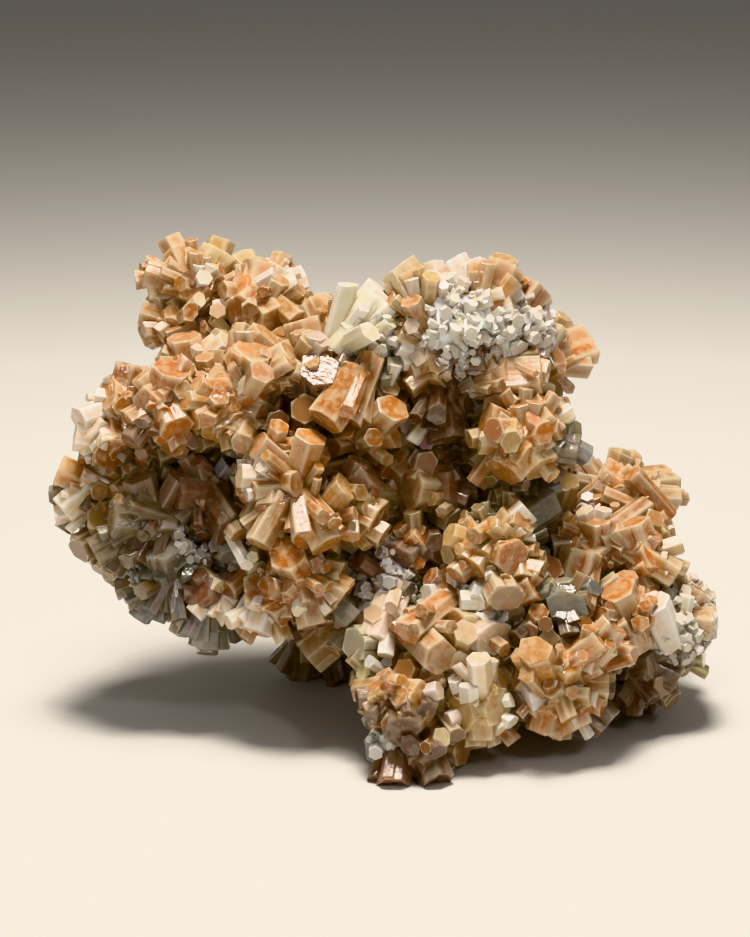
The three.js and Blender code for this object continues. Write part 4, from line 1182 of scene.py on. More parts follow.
def grow(name, source, tree, values):
    """Runs a tree on the source object and keeps the result as a plain mesh object."""
    bpy.context.scene.collection.objects.link(source)
    modifier = source.modifiers.new("grow", "NODES")
    modifier.node_group = tree
    for item in tree.interface.items_tree:
        if item.in_out == "INPUT" and item.name in values:
            modifier[item.identifier] = values[item.name]
    depsgraph = bpy.context.evaluated_depsgraph_get()
    mesh = bpy.data.meshes.new_from_object(
        source.evaluated_get(depsgraph), preserve_all_data_layers=True, depsgraph=depsgraph
    )
    source.modifiers.remove(modifier)
    bpy.context.scene.collection.objects.unlink(source)
    keep_in_box(mesh)
    piece = bpy.data.objects.new(name, mesh)
    mesh.name = name
    bpy.context.scene.collection.objects.link(piece)
    triangles = sum(len(face.vertices) - 2 for face in mesh.polygons)
    print(f"{name}: {triangles} triangles")
    return piece

# %% [markdown]
# ## The crystal material
#
# An aragonite crystal is glassy outside and cloudy inside. Light goes a few millimetres in,
# scatters on air and iron, and comes out warm, so subsurface scattering carries the look, under
# a clear surface with an IOR of about 1.6. Plain colour with gloss would look like plastic.
#
# Inside each crystal the colour varies as it grew: streaks follow the columns that the prism is
# built of, bands cross it where the spring water changed, milky clouds hold air, and the six
# sectors of the twin differ a little. Light is painted in as well: the colour is painted deeper
# towards the root and in the middle of the end, as painted shade where more crystal lies behind
# the surface, and paler at the rim, down the corners and just below the end, as a painted glow
# where light leaves again. Fine grooves run down the sides. All are worked out in millimetres from
# the crystal's own end, so they follow it.
#
# Honey and smoky crystals let part of the light straight through, milky ones less. In the thick
# ones the rest of the light scatters a few millimetres under the surface, which takes long to
# work out. A crystal thinner than that looks the same without it, so the small ones do without.

# %% Build the crystal material
ARAGONITE_IOR = 1.6
# how far a tint goes towards its stained and its milky colour, and how much each trait shows
STAIN_SHARE, CLOUD_SHARE = 0.6, 0.7
# The first two are painted shade: how much deeper the colour is painted towards the root and in the
# middle of the end.
ROOT_SHADE, CORE_SHADE, STREAK_STAIN, BAND_STAIN, TWIN_STAIN = 0.6, 0.38, 0.3, 0.8, 0.3
CLOUDINESS, FLECK_SHARE = 0.5, 0.3
# noise waves per mm
STREAKS, CLOUDS, FLECKS, BANDS = 1.7, 0.3, 0.8, 0.35
GROOVES, PITS, WAVES = 3.0, 1.6, 0.45
COLUMN_STRETCH, BAND_STRETCH = 0.06, 0.08
RELIEF = 0.22 * MM
PIT_SHARE, WAVE_SHARE = 0.2, 2.0
RELIEF_STRENGTH = 0.6
TWIN_SECTORS, TWIN_WAVES = 3.0, 3.0
SCATTER_SHARE = 0.85

ATTRIBUTE, NOISE, RANGE = "ShaderNodeAttribute", "ShaderNodeTexNoise", "ShaderNodeMapRange"
SMOOTH = {"interpolation_type": "SMOOTHSTEP"}
MIX = "ShaderNodeMix"
TINTED = {"data_type": "RGBA", "out": 2}  # mixes colours: inputs 0, 6 and 7 are share, from, to


def crystal_material(name, cloud, stain, edge_glow, clear, rough, reach, scatter=0.0):
    """cloud is a milky colour and stain one that deepens the tint, then comes how much paler the
    edges are painted, a painted glow of light leaving the crystal there, clear is how much light
    passes straight through, rough the range of roughness, and reach how far red, green and blue
    light scatter when the scatter in mm is above zero."""
    material = bpy.data.materials.new(name)
    material.use_nodes = True
    tree = material.node_tree
    tree.nodes.clear()

    # where a point is in its crystal: in radii, and in mm with a shift of the crystal's own
    tint = add(tree, ATTRIBUTE, attribute_name="tint")
    local = add(tree, ATTRIBUTE, attribute_name="local", out="Vector")
    apart = add(tree, ATTRIBUTE, attribute_name="seed", out="Fac")
    radius = add(tree, ATTRIBUTE, attribute_name="radius", out="Fac")
    inside = add(tree, VECTOR_MATH, local, {"Scale": radius}, operation="SCALE")
    shift = add(tree, "ShaderNodeCombineXYZ", apart, apart, apart)
    inside = add(tree, VECTOR_MATH, inside, shift, operation="ADD")
    ways = add(tree, "ShaderNodeSeparateXYZ", local, out=None)
    height = ways["Z"]
    on_end = add(tree, RANGE, height, -0.05, -0.01, **SMOOTH)
    on_side = add(tree, MATH, 1.0, on_end, operation="SUBTRACT")
    flat = add(tree, VECTOR_MATH, local, (1.0, 1.0, 0.0), operation="MULTIPLY")
    across = add(tree, VECTOR_MATH, flat, operation="LENGTH", out="Value")

    columns = add(tree, VECTOR_MATH, inside, (1.0, 1.0, COLUMN_STRETCH), operation="MULTIPLY")
    layers = (BAND_STRETCH, BAND_STRETCH, 1.0)
    layers = add(tree, VECTOR_MATH, inside, layers, operation="MULTIPLY")
    streaks = add(tree, NOISE, {"Vector": columns, "Scale": STREAKS, "Detail": 3.0})
    clouds = add(tree, NOISE, {"Vector": inside, "Scale": CLOUDS, "Detail": 1.0})
    flecks = add(tree, NOISE, {"Vector": inside, "Scale": FLECKS, "Detail": 2.0})
    bands = add(tree, NOISE, {"Vector": layers, "Scale": BANDS, "Detail": 2.0})
    grooves = add(tree, NOISE, {"Vector": columns, "Scale": GROOVES, "Detail": 2.0})
    pits = add(tree, NOISE, {"Vector": inside, "Scale": PITS, "Detail": 3.0})
    waves = add(tree, NOISE, {"Vector": inside, "Scale": WAVES, "Detail": 2.0})

    # Painted glow: the rim of the end and the corners down the sides are painted paler, where light
    # leaves the crystal.
    rim = add(tree, RANGE, across, 0.72, 0.98, **SMOOTH)
    rim = add(tree, MATH, rim, on_end, operation="MULTIPLY")
    corner = add(tree, RANGE, across, 0.84, 1.02, **SMOOTH)
    corner = add(tree, MATH, corner, on_side, operation="MULTIPLY")
    glowing_edges = add(tree, MATH, rim, corner, operation="ADD")
    glowing_edges = add(tree, MATH, glowing_edges, edge_glow, operation="MULTIPLY")
    angle = add(tree, MATH, ways["Y"], ways["X"], operation="ARCTAN2")
    angle = add(tree, MATH, angle, TWIN_SECTORS, apart, operation="MULTIPLY_ADD")
    angle = add(tree, MATH, waves, TWIN_WAVES, angle, operation="MULTIPLY_ADD")
    twins = add(tree, MATH, angle, operation="SINE")
    # Painted shade: the middle of the end is painted deeper, where more crystal lies behind it.
    shaded_core = add(tree, RANGE, across, 1.0, 0.2, 0.0, CORE_SHADE, **SMOOTH)
    shaded_core = add(tree, MATH, shaded_core, on_end, operation="MULTIPLY")
    # Painted glow: the sides just below the end are painted paler.
    glow_below_end = add(tree, RANGE, height, -0.5, -0.03, **SMOOTH)
    glow_below_end = add(tree, MATH, glow_below_end, on_side, operation="MULTIPLY")
    glow_below_end = add(tree, MATH, glow_below_end, edge_glow, operation="MULTIPLY")

    rich = add(tree, MIX, {0: STAIN_SHARE, 6: tint, 7: linear(stain)}, **TINTED)
    pale = add(tree, MIX, {0: CLOUD_SHARE, 6: tint, 7: linear(cloud)}, **TINTED)
    colour = tint
    for share, towards in (
        # The first two shares are painted shade and the last two painted glow; the rest is the
        # crystal's own colour.
        (add(tree, RANGE, height, -0.1, -2.2, 0.0, ROOT_SHADE, **SMOOTH), rich),
        (shaded_core, rich),
        (add(tree, RANGE, streaks, 0.42, 0.68, 0.0, STREAK_STAIN, **SMOOTH), rich),
        (add(tree, RANGE, bands, 0.42, 0.6, 0.0, BAND_STAIN, **SMOOTH), rich),
        (add(tree, RANGE, clouds, 0.46, 0.64, 0.0, CLOUDINESS, **SMOOTH), pale),
        (add(tree, RANGE, twins, -0.12, 0.12, 0.0, TWIN_STAIN, **SMOOTH), rich),
        (add(tree, RANGE, flecks, 0.46, 0.74, 0.0, FLECK_SHARE, **SMOOTH), linear(cloud)),
        (glow_below_end, pale),
        (glowing_edges, linear(cloud)),
    ):
        colour = add(tree, MIX, {0: share, 6: colour, 7: towards}, **TINTED)

    relief = add(tree, MATH, waves, WAVE_SHARE, operation="MULTIPLY")
    relief = add(tree, MATH, pits, PIT_SHARE, relief, operation="MULTIPLY_ADD")
    relief = add(tree, MATH, grooves, on_side, relief, operation="MULTIPLY_ADD")
    bump = add(tree, "ShaderNodeBump", {
        "Strength": RELIEF_STRENGTH, "Distance": RELIEF, "Height": relief,
    })
    shader = add(tree, "ShaderNodeBsdfPrincipled", {
        "Base Color": colour,
        "Roughness": add(tree, RANGE, pits, 0.35, 0.65, *rough, **SMOOTH),
        "IOR": ARAGONITE_IOR,
        "Transmission Weight": clear,
        "Subsurface Weight": SCATTER_SHARE if scatter else 0.0,
        "Subsurface Radius": reach,
        "Subsurface Scale": scatter * MM,
        "Normal": bump,
    }, subsurface_method="BURLEY")
    add(tree, "ShaderNodeOutputMaterial", shader, out=None)
    return material


# cloud, stain, painted edge glow, clear, least and greatest roughness, how far each colour scatters
AMBER_REACH, WHITE_REACH = (1.0, 0.78, 0.55), (1.0, 0.96, 0.88)
FINISHES = {
    "honey": ("#F6E4C0", "#BC8048", 0.8, 0.46, (0.03, 0.16), AMBER_REACH),
    "milky": ("#FAF8F2", "#E6CFA6", 0.7, 0.3, (0.29, 0.42), WHITE_REACH),
    # Partly painted shade: this finish is for the dark tints M, S, G and B, which are set darker
    # for crystals that stand in shade.
    "smoky": ("#B8AC98", "#7A4E34", 0.4, 0.45, (0.04, 0.2), AMBER_REACH),
}
SCATTER_IN_LARGE = 2.4  # mm
LARGE_FINISH = {
    stain: crystal_material(f"{stain} aragonite crystal", *row, SCATTER_IN_LARGE)
    for stain, row in FINISHES.items()
}
SMALL_FINISH = {
    stain: crystal_material(f"small {stain} aragonite crystal", *row)
    for stain, row in FINISHES.items()
}
CRUST = crystal_material(
    "white aragonite crust", "#F6F6F2", "#E0CDB0", 0.8, 0.3, (0.29, 0.4), WHITE_REACH
)
made = [*LARGE_FINISH.values(), *SMALL_FINISH.values(), CRUST]
print("Crystal materials:", ", ".join(material.name for material in made))

# %% [markdown]
# ## The large crystals
#
# The placed crystals, the feet and those of the hidden sides are grown first. They are parted
# by stain, because honey, milky and smoky crystals differ in more than tint. A thick prism gets a
# form with side prisms. A slim one, or one that shows its whole side, gets a plain form, because
# side prisms would make a bundle of it.

# %% Grow the large crystals
# The last group holds the dark tints, which are partly painted shade.
STAINS = {"honey": "HOAPTYR", "milky": "CW", "smoky": "MSGB"}
PLACED_SEED, COMPANION_SEED = 11, 31
crystals = placed + feet + fill
planting, start = new_tree("plant large crystals", {"Forms": "Collection", "Finish": "Material"})
plant(planting, start["Geometry"], start["Forms"], start["Finish"])
pieces = []
for stain, tints in STAINS.items():
    of_stain = [crystal for crystal in crystals if crystal["tint"] in tints]
    sizes = {"large": (LARGE_FORMS, LARGE_FINISH), "small": (SMALL_FORMS, SMALL_FINISH)}
    for size, (forms, finishes) in sizes.items():
        chosen = [
            c for c in of_stain
            if (c["radius"] >= LARGE_RADIUS and "alone" not in c) == (size == "large")
        ]
        if chosen:
            name = f"{size}_{stain}_crystals"
            cloud = point_cloud(name + "_points", chosen, forms, len(pieces) + PLACED_SEED)
            settings = {"Forms": forms, "Finish": finishes[stain]}
            pieces.append(grow(name, cloud, planting, settings))

# %% [markdown]
# ## Smaller crystals beside the large ones
#
# Round each large crystal stand slimmer and shorter ones from the same root. A node duplicates
# each point a few times and gives every copy its own lean, length and thickness.

# %% Grow companions round the large crystals
COMPANION_SHADES = (0.75, 1.0)
COMPANION_STRETCH = (1.4, 2.2)


def companion_tree():
    """Copies each point, steps the copies sideways and lets them lean, each in its own way."""
    tree, start = new_tree("plant companions", {
        "Forms": "Collection", "Finish": "Material", "Form count": "Int", "Copies": "Int",
        "Lean": "Float", "Depth": "Float", "Sideways": "Float", "Least height": "Float",
        "Greatest height": "Float", "Least thickness": "Float", "Greatest thickness": "Float",
    })
    points = add(
        tree, "GeometryNodeDuplicateElements", start["Geometry"], {"Amount": start["Copies"]},
        domain="POINT",
    )
    axis = add(tree, READ, "axis", data_type="FLOAT_VECTOR")
    new_axis = leaning(tree, axis, start["Lean"])
    radius = add(tree, READ, "radius")
    depth = add(tree, MATH, radius, start["Depth"], operation="MULTIPLY")
    least, most = start["Least height"], start["Greatest height"]
    height = add(tree, RANDOM, {2: least, 3: most, "Seed": 2}, out=1)
    length = add(tree, MATH, depth, height, operation="MULTIPLY")
    rise = add(tree, VECTOR_MATH, new_axis, {"Scale": length}, operation="SCALE")
    sink = add(tree, VECTOR_MATH, axis, {"Scale": depth}, operation="SCALE")
    side = add(tree, VECTOR_MATH, axis, new_axis, operation="CROSS_PRODUCT")
    side = add(tree, VECTOR_MATH, side, axis, operation="CROSS_PRODUCT")
    side = add(tree, VECTOR_MATH, side, operation="NORMALIZE")
    step = add(tree, MATH, radius, start["Sideways"], operation="MULTIPLY")
    side = add(tree, VECTOR_MATH, side, {"Scale": step}, operation="SCALE")
    move = add(tree, VECTOR_MATH, rise, sink, operation="SUBTRACT")
    move = add(tree, VECTOR_MATH, move, side, operation="ADD")
    points = add(tree, "GeometryNodeSetPosition", points, {"Offset": move})
    points = add(tree, STORE, points, {"Name": "axis", "Value": new_axis}, data_type="FLOAT_VECTOR")
    least, most = start["Least thickness"], start["Greatest thickness"]
    thickness = add(tree, RANDOM, {2: least, 3: most, "Seed": 3}, out=1)
    thickness = add(tree, MATH, radius, thickness, operation="MULTIPLY")
    points = add(tree, STORE, points, {"Name": "radius", "Value": thickness})
    least, most = COMPANION_STRETCH
    stretch = add(tree, RANDOM, {2: least, 3: most, "Seed": 6}, out=1)
    points = add(tree, STORE, points, {"Name": "stretch", "Value": stretch})
    least, most = COMPANION_SHADES
    shade = add(tree, RANDOM, {2: least, 3: most, "Seed": 8}, out=1)
    tint = add(tree, READ, "tint", data_type="FLOAT_COLOR")
    tint = add(tree, VECTOR_MATH, tint, {"Scale": shade}, operation="SCALE")
    points = add(tree, STORE, points, {"Name": "tint", "Value": tint}, data_type="FLOAT_COLOR")
    points = varied(tree, points, start["Form count"])
    plant(tree, points, start["Forms"], start["Finish"])
    return tree


companions = companion_tree()
for stain, tints in STAINS.items():
    chosen = [c for c in crystals if c["tint"] in tints and c["radius"] >= LARGE_RADIUS]
    seed = len(pieces) + COMPANION_SEED
    cloud = point_cloud(f"{stain}_companion_points", chosen, SMALL_FORMS, seed)
    pieces.append(grow(f"{stain}_companion_crystals", cloud, companions, {
        "Forms": SMALL_FORMS, "Finish": SMALL_FINISH[stain], "Copies": 4, "Lean": 0.6,
        "Form count": len(SMALL_FORMS.objects), "Depth": 2.3 * MM, "Sideways": 0.8 * MM,
        "Least height": 0.45, "Greatest height": 0.9,
        "Least thickness": 0.28, "Greatest thickness": 0.58,
    }))

# %% [markdown]
# ## Small crystals over the whole skin
#
# Between the rosettes the mass is covered with smaller crystals, thousands of them, and here and
# there with a white crust. They could grow straight from the mass, but its facets are coarse and
# the roots would show. So they grow out of a finer skin that lies a few millimetres under the
# mass's surface. The crust could be painted on as a mask. Here it is a list of patches, because
# the same numbers then lift the skin, whiten the crystals and tint the clay.

# %% Make the sunk skin and mark where the crust grows
# place on the sheet, radius in mm, colour
# The grey colours of the patches low on the left and in the crevice below the middle are partly
# painted shade: they are set darker where the crust lies in shade.
CRUSTS = [
    ((19, 37), 5, "#E6E8E8"), ((26, 36), 5.5, "#E8E9E6"), ((34, 36), 5, "#DCD6D2"),
    ((13, 32), 4, "#E2E4E0"), ((-3, 38), 4, "#E2E3DC"), ((5, 33), 4, "#E0E1D8"),
    ((-44, 50), 4, "#E6E0E0"), ((-24, 9), 4, "#C9C4BC"), ((5, -43), 5, "#E8E8E8"),
    ((3, -67), 6, "#C9D0D4"), ((34, -60), 5, "#EEEDE8"), ((51, -56), 4, "#E8E2DC"),
    ((72, -38), 6, "#EEEBE2"), ((-52, -23), 8, "#A6B4B8"), ((54, -11), 4, "#E6E2DA"),
    ((30, 23), 4, "#DADCDC"), ((39, -8), 6, "#B4B8AE"), ((3, -28), 6, "#ADA9AE"),
    ((26, -33), 6, "#E2E2DC"), ((-70, 8), 4, "#D6DAD2"), ((-38, -42), 6, "#AEBABC"),
]
CRUST_RISE = 6.8  # mm above the sunk skin
CRUST_LUMPS = 2.6  # mm more, at the top of a lump
CRUST_EDGE, CRUST_FADE = 1.35, 0.5  # where a patch ends and how softly, in its radii
IN_DEPTH = 0.5  # a patch reaches this share as strongly into the depth
FAR_FROM_CRUST = 9.0
CHALK = "#EFEAE2"
fine_points, fine_facets = skin(FINE_SKIN, MASS_SUNK)


def crusted(points):
    """How thick the white crust is at each point, from 0 to 1, and its colour there."""
    right, up, depth = sheet_place(points)
    nearest = np.full(len(points), FAR_FROM_CRUST)
    colours = np.tile(np.array(linear(CHALK)), (len(points), 1))
    for (at_right, at_up), radius, colour in CRUSTS:
        at_depth = surface_depth(at_right, at_up) + MASS_SUNK
        behind = IN_DEPTH * (depth - at_depth)
        away = np.sqrt((right - at_right) ** 2 + (up - at_up) ** 2 + behind**2) / radius
        closer = away < nearest
        nearest[closer] = away[closer]
        colours[closer] = linear(colour)
    return np.clip((CRUST_EDGE - nearest) / CRUST_FADE, 0, 1), colours


def point_normals(points, facets):
    """Which way the skin faces at each of its points."""
    a, b, c = (points[facets[:, k]] for k in range(3))
    facing = np.cross(b - a, c - a)
    normals = np.zeros_like(points)
    for k in range(3):
        np.add.at(normals, facets[:, k], facing)
    return normals / np.linalg.norm(normals, axis=1, keepdims=True)


def lumps(points):
    """A rough 0 to 1 number for each point, from crossed waves of a few millimetres."""
    a, b, c = points.T
    waves = np.sin(1.9 * a + 1.3 * b) * np.sin(2.3 * b - 1.1 * c) + np.sin(2.9 * c + 1.7 * a)
    swells = np.sin(0.7 * a - 0.5 * c) * np.sin(0.8 * b + 0.4 * a)
    return 0.5 + waves / 6 + swells / 4


crust, crust_colours = crusted(fine_points)
rise = crust * (CRUST_RISE + CRUST_LUMPS * lumps(fine_points))
crusty_points = fine_points + point_normals(fine_points, fine_facets) * rise[:, None]


def skin_object(name, points):
    """A mesh object of the fine skin that also says where the crust lies."""
    mesh = bpy.data.meshes.new(name)
    mesh.from_pydata(in_frame(points).tolist(), [], fine_facets.tolist())
    for label, kind, field, values in (
        ("crust", "FLOAT", "value", crust),
        ("everywhere", "FLOAT", "value", np.ones(len(points))),
        ("crust_tint", "FLOAT_COLOR", "color", crust_colours),
    ):
        attribute = mesh.attributes.new(label, kind, "POINT")
        attribute.data.foreach_set(field, np.asarray(values, "f").ravel())
    return bpy.data.objects.new(name, mesh)


bare_skin = skin_object("bare_skin", fine_points)
crusty_skin = skin_object("clay_matrix", crusty_points)
print("Fine skin:", len(fine_facets), "facets; part under crust:", round(float(crust.mean()), 3))

# %% [markdown]
# ## Where the placed crystals stand
#
# On a real cluster no small crystal ends inside a large one, because it found no room there.
# Every scattered crystal could be tested against every placed one in Python. Here the placed
# crystals become points along their axes, each with its radius and tint, because Geometry Nodes
# find the nearest of such points at once.

# %% Mark where the placed crystals stand
BODY_STEP = 2  # mm


def body_cloud(crystals):
    """Points along each crystal's axis, with its radius and tint, to ask what stands nearby."""
    points, radii, tints = [], [], []
    for crystal in crystals:
        span = np.linalg.norm(crystal["tip"] - crystal["root"])
        for part in np.linspace(0, 1, max(2, int(span / BODY_STEP))):
            points.append(crystal["root"] + (crystal["tip"] - crystal["root"]) * part)
            radii.append(crystal["radius"])
            tints.append(linear(TINTS[crystal["tint"]]))
    mesh = bpy.data.meshes.new("crystal_bodies")
    mesh.from_pydata(in_frame(points).tolist(), [], [])
    radius = mesh.attributes.new("radius", "FLOAT", "POINT")
    radius.data.foreach_set("value", np.array(radii, "f"))
    tint = mesh.attributes.new("tint", "FLOAT_COLOR", "POINT")
    tint.data.foreach_set("color", np.array(tints, "f").ravel())
    return bpy.data.objects.new("crystal_bodies", mesh)


bodies = body_cloud(crystals)
print("Points along the placed crystals:", len(bodies.data.vertices))

# %% [markdown]
# ## Bursts of small crystals
#
# The small crystals stand in bursts too: several lean apart from one spot, as the large rosettes
# do. Crystals scattered without a rule would run into one another. So the spots keep an even
# least distance, a crystal that would end inside a placed one is left out, and each takes the
# tint of the placed crystal nearest to it. Where the crust lies the tint goes over to white.

# %% Build the tree that grows bursts
MOST_SPOTS = 1e6  # per square metre, so that the least distance alone sets how many there are
CRUST_WHITENESS = (0.3, 1.1)
SLIGHTLY_WIDENED = (0.9, 1.1)


def spread_spots(tree, start):
    """Spots on the skin, an even least distance apart, that remember which way is out."""
    spread = add(
        tree, "GeometryNodeDistributePointsOnFaces",
        {
            "Mesh": start["Geometry"], "Distance Min": start["Least distance"],
            "Density Max": MOST_SPOTS, "Density Factor": add(tree, READ, start["Spread by"]),
            "Seed": start["Seed"],
        },
        distribute_method="POISSON", out=None,
    )
    outward = {"Name": "out", "Value": spread["Normal"]}
    return add(tree, STORE, spread["Points"], outward, data_type="FLOAT_VECTOR")


def burst_tree():
    """Grows crystals out of each spot, leaves out those that would end in a placed one, and
    tints each like the placed crystal nearest to it, or white where the crust lies."""
    tree, start = new_tree("grow bursts", {
        "Forms": "Collection", "Finish": "Material", "Placed": "Object", "Form count": "Int",
        "Spread by": "String", "Least distance": "Float", "Copies": "Int", "Lean": "Float",
        "Least radius": "Float", "Greatest radius": "Float", "Least length": "Float",
        "Greatest length": "Float", "Clear of placed": "Float", "Crust tint": "Float",
        "Darkest": "Vector", "Seed": "Int",
    })
    bodies = add(tree, "GeometryNodeObjectInfo", {"Object": start["Placed"]}, out="Geometry")
    nearest = add(tree, "GeometryNodeSampleNearest", {"Geometry": bodies})
    spot = add(tree, "GeometryNodeInputPosition")
    body_spot, body_radius, body_tint = (
        add(
            tree, "GeometryNodeSampleIndex", {"Geometry": bodies, "Value": value, "Index": nearest},
            data_type=kind,
        )
        for value, kind in (
            (spot, "FLOAT_VECTOR"),
            (add(tree, READ, "radius"), "FLOAT"),
            (add(tree, READ, "tint", data_type="FLOAT_COLOR"), "FLOAT_COLOR"),
        )
    )

    points = add(
        tree, "GeometryNodeDuplicateElements", spread_spots(tree, start),
        {"Amount": start["Copies"]}, domain="POINT",
    )
    axis = leaning(tree, add(tree, READ, "out", data_type="FLOAT_VECTOR"), start["Lean"])
    points = add(tree, STORE, points, {"Name": "axis", "Value": axis}, data_type="FLOAT_VECTOR")
    for name, seed in {"radius": 2, "length": 3}.items():
        least, most = start[f"Least {name}"], start[f"Greatest {name}"]
        value = add(tree, RANDOM, {2: least, 3: most, "Seed": seed}, out=1)
        points = add(tree, STORE, points, {"Name": name, "Value": value})
    length = add(tree, READ, "length")
    rise = add(tree, MATH, length, MM, operation="MULTIPLY")
    axis = add(tree, READ, "axis", data_type="FLOAT_VECTOR")
    rise = add(tree, VECTOR_MATH, axis, {"Scale": rise}, operation="SCALE")
    points = add(tree, "GeometryNodeSetPosition", points, {"Offset": rise})

    gap = add(tree, VECTOR_MATH, spot, body_spot, operation="DISTANCE", out="Value")
    room = add(tree, MATH, body_radius, MM, operation="MULTIPLY")
    room = add(tree, MATH, room, start["Clear of placed"], operation="ADD")
    blocked = add(tree, MATH, gap, room, operation="LESS_THAN")
    points = add(tree, "GeometryNodeDeleteGeometry", points, blocked, domain="POINT")

    least, most = CRUST_WHITENESS
    whiteness = add(tree, RANDOM, {2: least, 3: most, "Seed": 10}, out=1)
    whiteness = add(tree, MATH, start["Crust tint"], whiteness, operation="MULTIPLY")
    whiteness = add(tree, MATH, add(tree, READ, "crust"), whiteness, operation="MULTIPLY")
    crust_tint = add(tree, READ, "crust_tint", data_type="FLOAT_COLOR")
    # Next to dark tints and on grey crust patches this tint takes over their painted shade.
    tint = add(tree, MIX, {0: whiteness, 6: body_tint, 7: crust_tint}, **TINTED)
    shade = add(tree, RANDOM, start["Darkest"], (1, 1, 1), {"Seed": 8}, data_type="FLOAT_VECTOR")
    tint = add(tree, VECTOR_MATH, tint, shade, operation="MULTIPLY")
    points = add(tree, STORE, points, {"Name": "tint", "Value": tint}, data_type="FLOAT_COLOR")
    stretch = add(tree, MATH, length, add(tree, READ, "radius"), operation="DIVIDE")
    stretch = add(tree, MATH, stretch, FORM_LENGTH, operation="DIVIDE")
    points = add(tree, STORE, points, {"Name": "stretch", "Value": stretch})
    least, most = SLIGHTLY_WIDENED
    widen = add(tree, RANDOM, {2: least, 3: most, "Seed": 9}, out=1)
    points = add(tree, STORE, points, {"Name": "widen", "Value": widen})
    points = varied(tree, points, start["Form count"])
    plant(tree, points, start["Forms"], start["Finish"])
    return tree


bursts = burst_tree()
print("Nodes in the tree that grows bursts:", len(bursts.nodes))

# %% [markdown]
# ## Five sizes of bursts
#
# Crystals of every size share the gaps. One round with a wide range of sizes could make them,
# but then small crystals would stand as far apart as large ones. Five rounds, each with its own
# least distance, go from proud crystals, which fill the hidden sides, to a druse as fine as
# sugar on the white crust.

# %% Grow five sizes of bursts
HONEY_DARKEST = (0.8, 0.68, 0.5)
CRUST_DARKEST = (0.92, 0.88, 0.8)
# name: forms, least distance, copies, lean, radii, lengths, clear of placed, crust tint; in mm
BURSTS = {
    "proud_crystals": (LARGE_FORMS, 13, 5, 1.1, (3.0, 4.8), (9.5, 13), 3.0, 0.3),
    "stout_crystals": (SMALL_FORMS, 10, 6, 1.4, (2.0, 3.5), (6.5, 11), 0.6, 0.5),
    "middling_crystals": (SMALL_FORMS, 5.7, 4, 1.3, (1.3, 2.4), (5, 9.5), 0.2, 0.6),
    "tiny_crystals": (TINY_FORMS, 3.4, 2, 1.0, (0.7, 1.4), (4, 7.5), -0.4, 0.9),
    "crust_crystals": (TINY_FORMS, 1.7, 2, 0.8, (0.5, 1.9), (0.9, 3.8), -1.5, 1.0),
}
bpy.context.scene.collection.objects.link(bodies)
for seed, (name, row) in enumerate(BURSTS.items(), start=1):
    forms, distance, copies, lean, radii, lengths, clear, whiteness = row
    on_crust = name == "crust_crystals"
    source = bpy.data.objects.new(name + "_source", (crusty_skin if on_crust else bare_skin).data)
    pieces.append(grow(name, source, bursts, {
        "Forms": forms, "Finish": CRUST if on_crust else SMALL_FINISH["honey"], "Placed": bodies,
        "Form count": len(forms.objects), "Spread by": "crust" if on_crust else "everywhere",
        "Least distance": distance * MM, "Copies": copies, "Lean": lean,
        "Least radius": radii[0], "Greatest radius": radii[1],
        "Least length": float(lengths[0]), "Greatest length": float(lengths[1]),
        "Clear of placed": clear * MM, "Crust tint": whiteness, "Seed": seed,
        "Darkest": CRUST_DARKEST if on_crust else HONEY_DARKEST,
    }))
bpy.data.objects.remove(bodies)

# %% [markdown]
# ## The clay and crust of the mass
#
# What shows between the crystals is the mass itself: reddish clay, crumbly and dull. Under the
# white druse the clay is covered by chalky crust, so one material blends the two by the same
# mask that the druse grew by.

# %% Make the mass
LUMPS_PER_METRE, PATCHES_PER_METRE = 220, 45  # lumps of 4 to 5 mm on patches of about 22 mm
DARK_CLAY, PALE_CLAY = "#7E5038", "#B5846A"
CLAY_RELIEF = 0.8 * MM
CRUMB_STRENGTH = 0.9
CLAY_ROUGHNESS = 0.85


def clay_material():
    """Reddish clay in two shades with crumbs as relief, under chalk where the crust lies."""
    material = bpy.data.materials.new("red clay matrix")
    material.use_nodes = True
    tree = material.node_tree
    tree.nodes.clear()
    where = add(tree, "ShaderNodeTexCoord", out="Object")
    crumbs = add(tree, NOISE, {"Vector": where, "Scale": LUMPS_PER_METRE, "Detail": 4})
    patches = add(tree, NOISE, {"Vector": where, "Scale": PATCHES_PER_METRE, "Detail": 2})
    bare = add(tree, MIX, {0: patches, 6: linear(DARK_CLAY), 7: linear(PALE_CLAY)}, **TINTED)
    crust_here = add(tree, ATTRIBUTE, attribute_name="crust", out="Fac")
    cover = add(tree, RANGE, crust_here, 0.1, 0.5)
    # The grey crust colours, partly painted shade, tint the clay here too.
    crust_tint = add(tree, ATTRIBUTE, attribute_name="crust_tint")
    covered = add(tree, MIX, {0: cover, 6: bare, 7: crust_tint}, **TINTED)
    bump = add(tree, "ShaderNodeBump", {
        "Strength": CRUMB_STRENGTH, "Distance": CLAY_RELIEF, "Height": crumbs,
    })
    shader = add(tree, "ShaderNodeBsdfPrincipled", {
        "Base Color": covered, "Roughness": CLAY_ROUGHNESS, "Normal": bump,
    })
    add(tree, "ShaderNodeOutputMaterial", shader, out=None)
    return material


bpy.data.objects.remove(bare_skin)
keep_in_box(crusty_skin.data)
bpy.context.scene.collection.objects.link(crusty_skin)
crusty_skin.data.materials.append(clay_material())
pieces.append(crusty_skin)
print(f"{crusty_skin.name}: {len(crusty_skin.data.polygons)} triangles")

# %% [markdown]
# ## The stage
#
# A mineral is shown on something plain, so that nothing competes with its faces. A modelled room
# would give richer reflections and take longer. A pale matt floor and a weak even glow all round
# are enough, because the floor throws light back on to the undersides.

# %% Set the stage
FLOOR_HALF = 6  # metres
WORLD_STRENGTH = 0.2

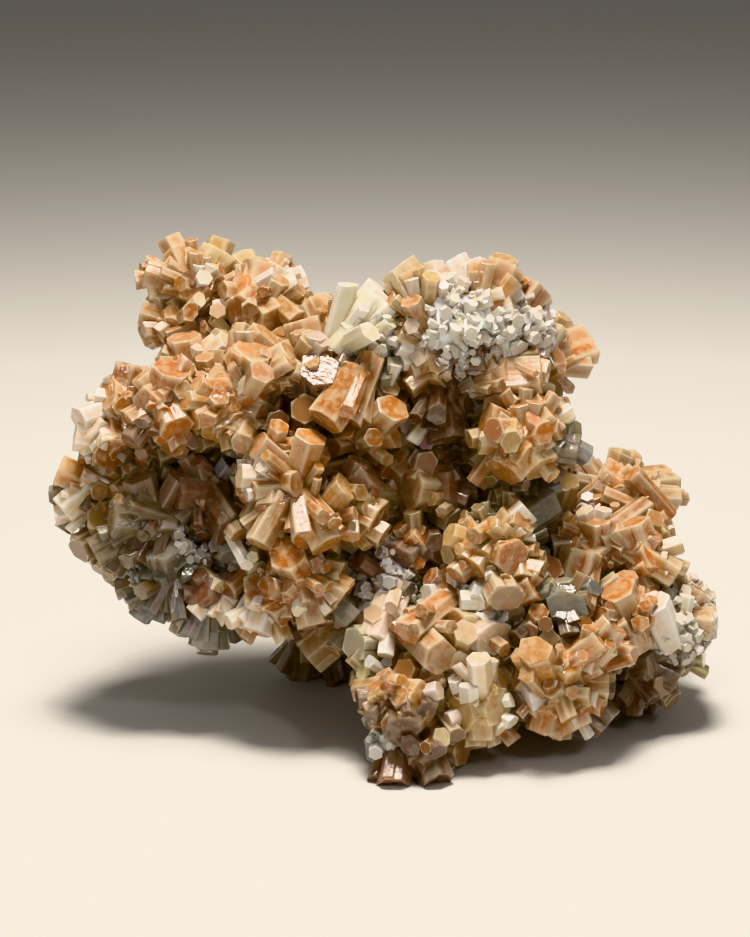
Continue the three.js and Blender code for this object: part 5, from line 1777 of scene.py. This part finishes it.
floor_material = bpy.data.materials.new("pale matt card")
floor_material.use_nodes = True
card = floor_material.node_tree.nodes["Principled BSDF"]
card.inputs["Base Color"].default_value = linear("#CECAC3")
card.inputs["Roughness"].default_value = 0.9
floor_mesh = bpy.data.meshes.new("floor")
floor_mesh.from_pydata(
    [(x * FLOOR_HALF, y * FLOOR_HALF, 0) for x, y in ((-1, -1), (1, -1), (1, 1), (-1, 1))],
    [], [(0, 1, 2, 3)],
)
floor_mesh.materials.append(floor_material)
floor = bpy.data.objects.new("floor", floor_mesh)
bpy.context.scene.collection.objects.link(floor)

bpy.context.scene.view_settings.view_transform = "Khronos PBR Neutral"

world = bpy.data.worlds.new("studio")
bpy.context.scene.world = world
world.use_nodes = True
world.node_tree.nodes["Background"].inputs[0].default_value = linear("#FAF8F4")
world.node_tree.nodes["Background"].inputs[1].default_value = WORLD_STRENGTH
print("Floor:", 2 * FLOOR_HALF, "m square; strength of the glow:", WORLD_STRENGTH)

# %% [markdown]
# ## The lights
#
# One soft light above makes ends and upper faces bright and leaves the undersides dark. A weak
# broad light fills the front. Two small weak lamps are there for the glints: a crystal's flat
# face works as a mirror, and a broad light alone would turn its glints into a haze. Between the
# crystals light could go on bouncing for long, but after a few bounces it adds next to nothing,
# so the bounces are cut short.

# %% Light the stage
AIM_HEIGHT = 0.06
WHITE, WARM_WHITE = "#FFFFFF", "#FFF8EE"
# name: place and size in metres, power in watts, colour
LIGHTS = {
    "softbox": ((0.0, 0.0, 0.72), 0.3, 11.5, WARM_WHITE),
    "front fill": ((0.5, -0.8, 0.5), 0.6, 0.5, WHITE),
    "left lamp": ((-0.55, -0.5, 0.3), 0.1, 0.9, WHITE),
    "right lamp": ((0.4, -0.65, 0.6), 0.1, 0.9, WHITE),
}
BOUNCES = {"max": 8, "diffuse": 3, "glossy": 3, "transmission": 6}


def area_light(name, at, size, power, colour):
    """A round area light that looks at the middle of the cluster."""
    light = bpy.data.objects.new(name, bpy.data.lights.new(name, "AREA"))
    light.data.shape = "DISK"
    light.data.size = size
    light.data.energy = power
    light.data.color = linear(colour)[:3]
    light.location = at
    aim = Vector((0, 0, AIM_HEIGHT)) - light.location
    light.rotation_euler = aim.to_track_quat("-Z", "Y").to_euler()
    bpy.context.scene.collection.objects.link(light)


for name, settings in LIGHTS.items():
    area_light(name, *settings)
for kind, count in BOUNCES.items():
    setattr(bpy.context.scene.cycles, f"{kind}_bounces", count)
print("Lights:", ", ".join(LIGHTS), "- bounces:", BOUNCES)

# %% [markdown]
# ## Fitting the pieces to the frame
#
# Every piece rides on the one body and together they stand for the one solid of the model.

for piece in pieces:
    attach(piece, "root")
    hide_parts("aragonite_cluster")
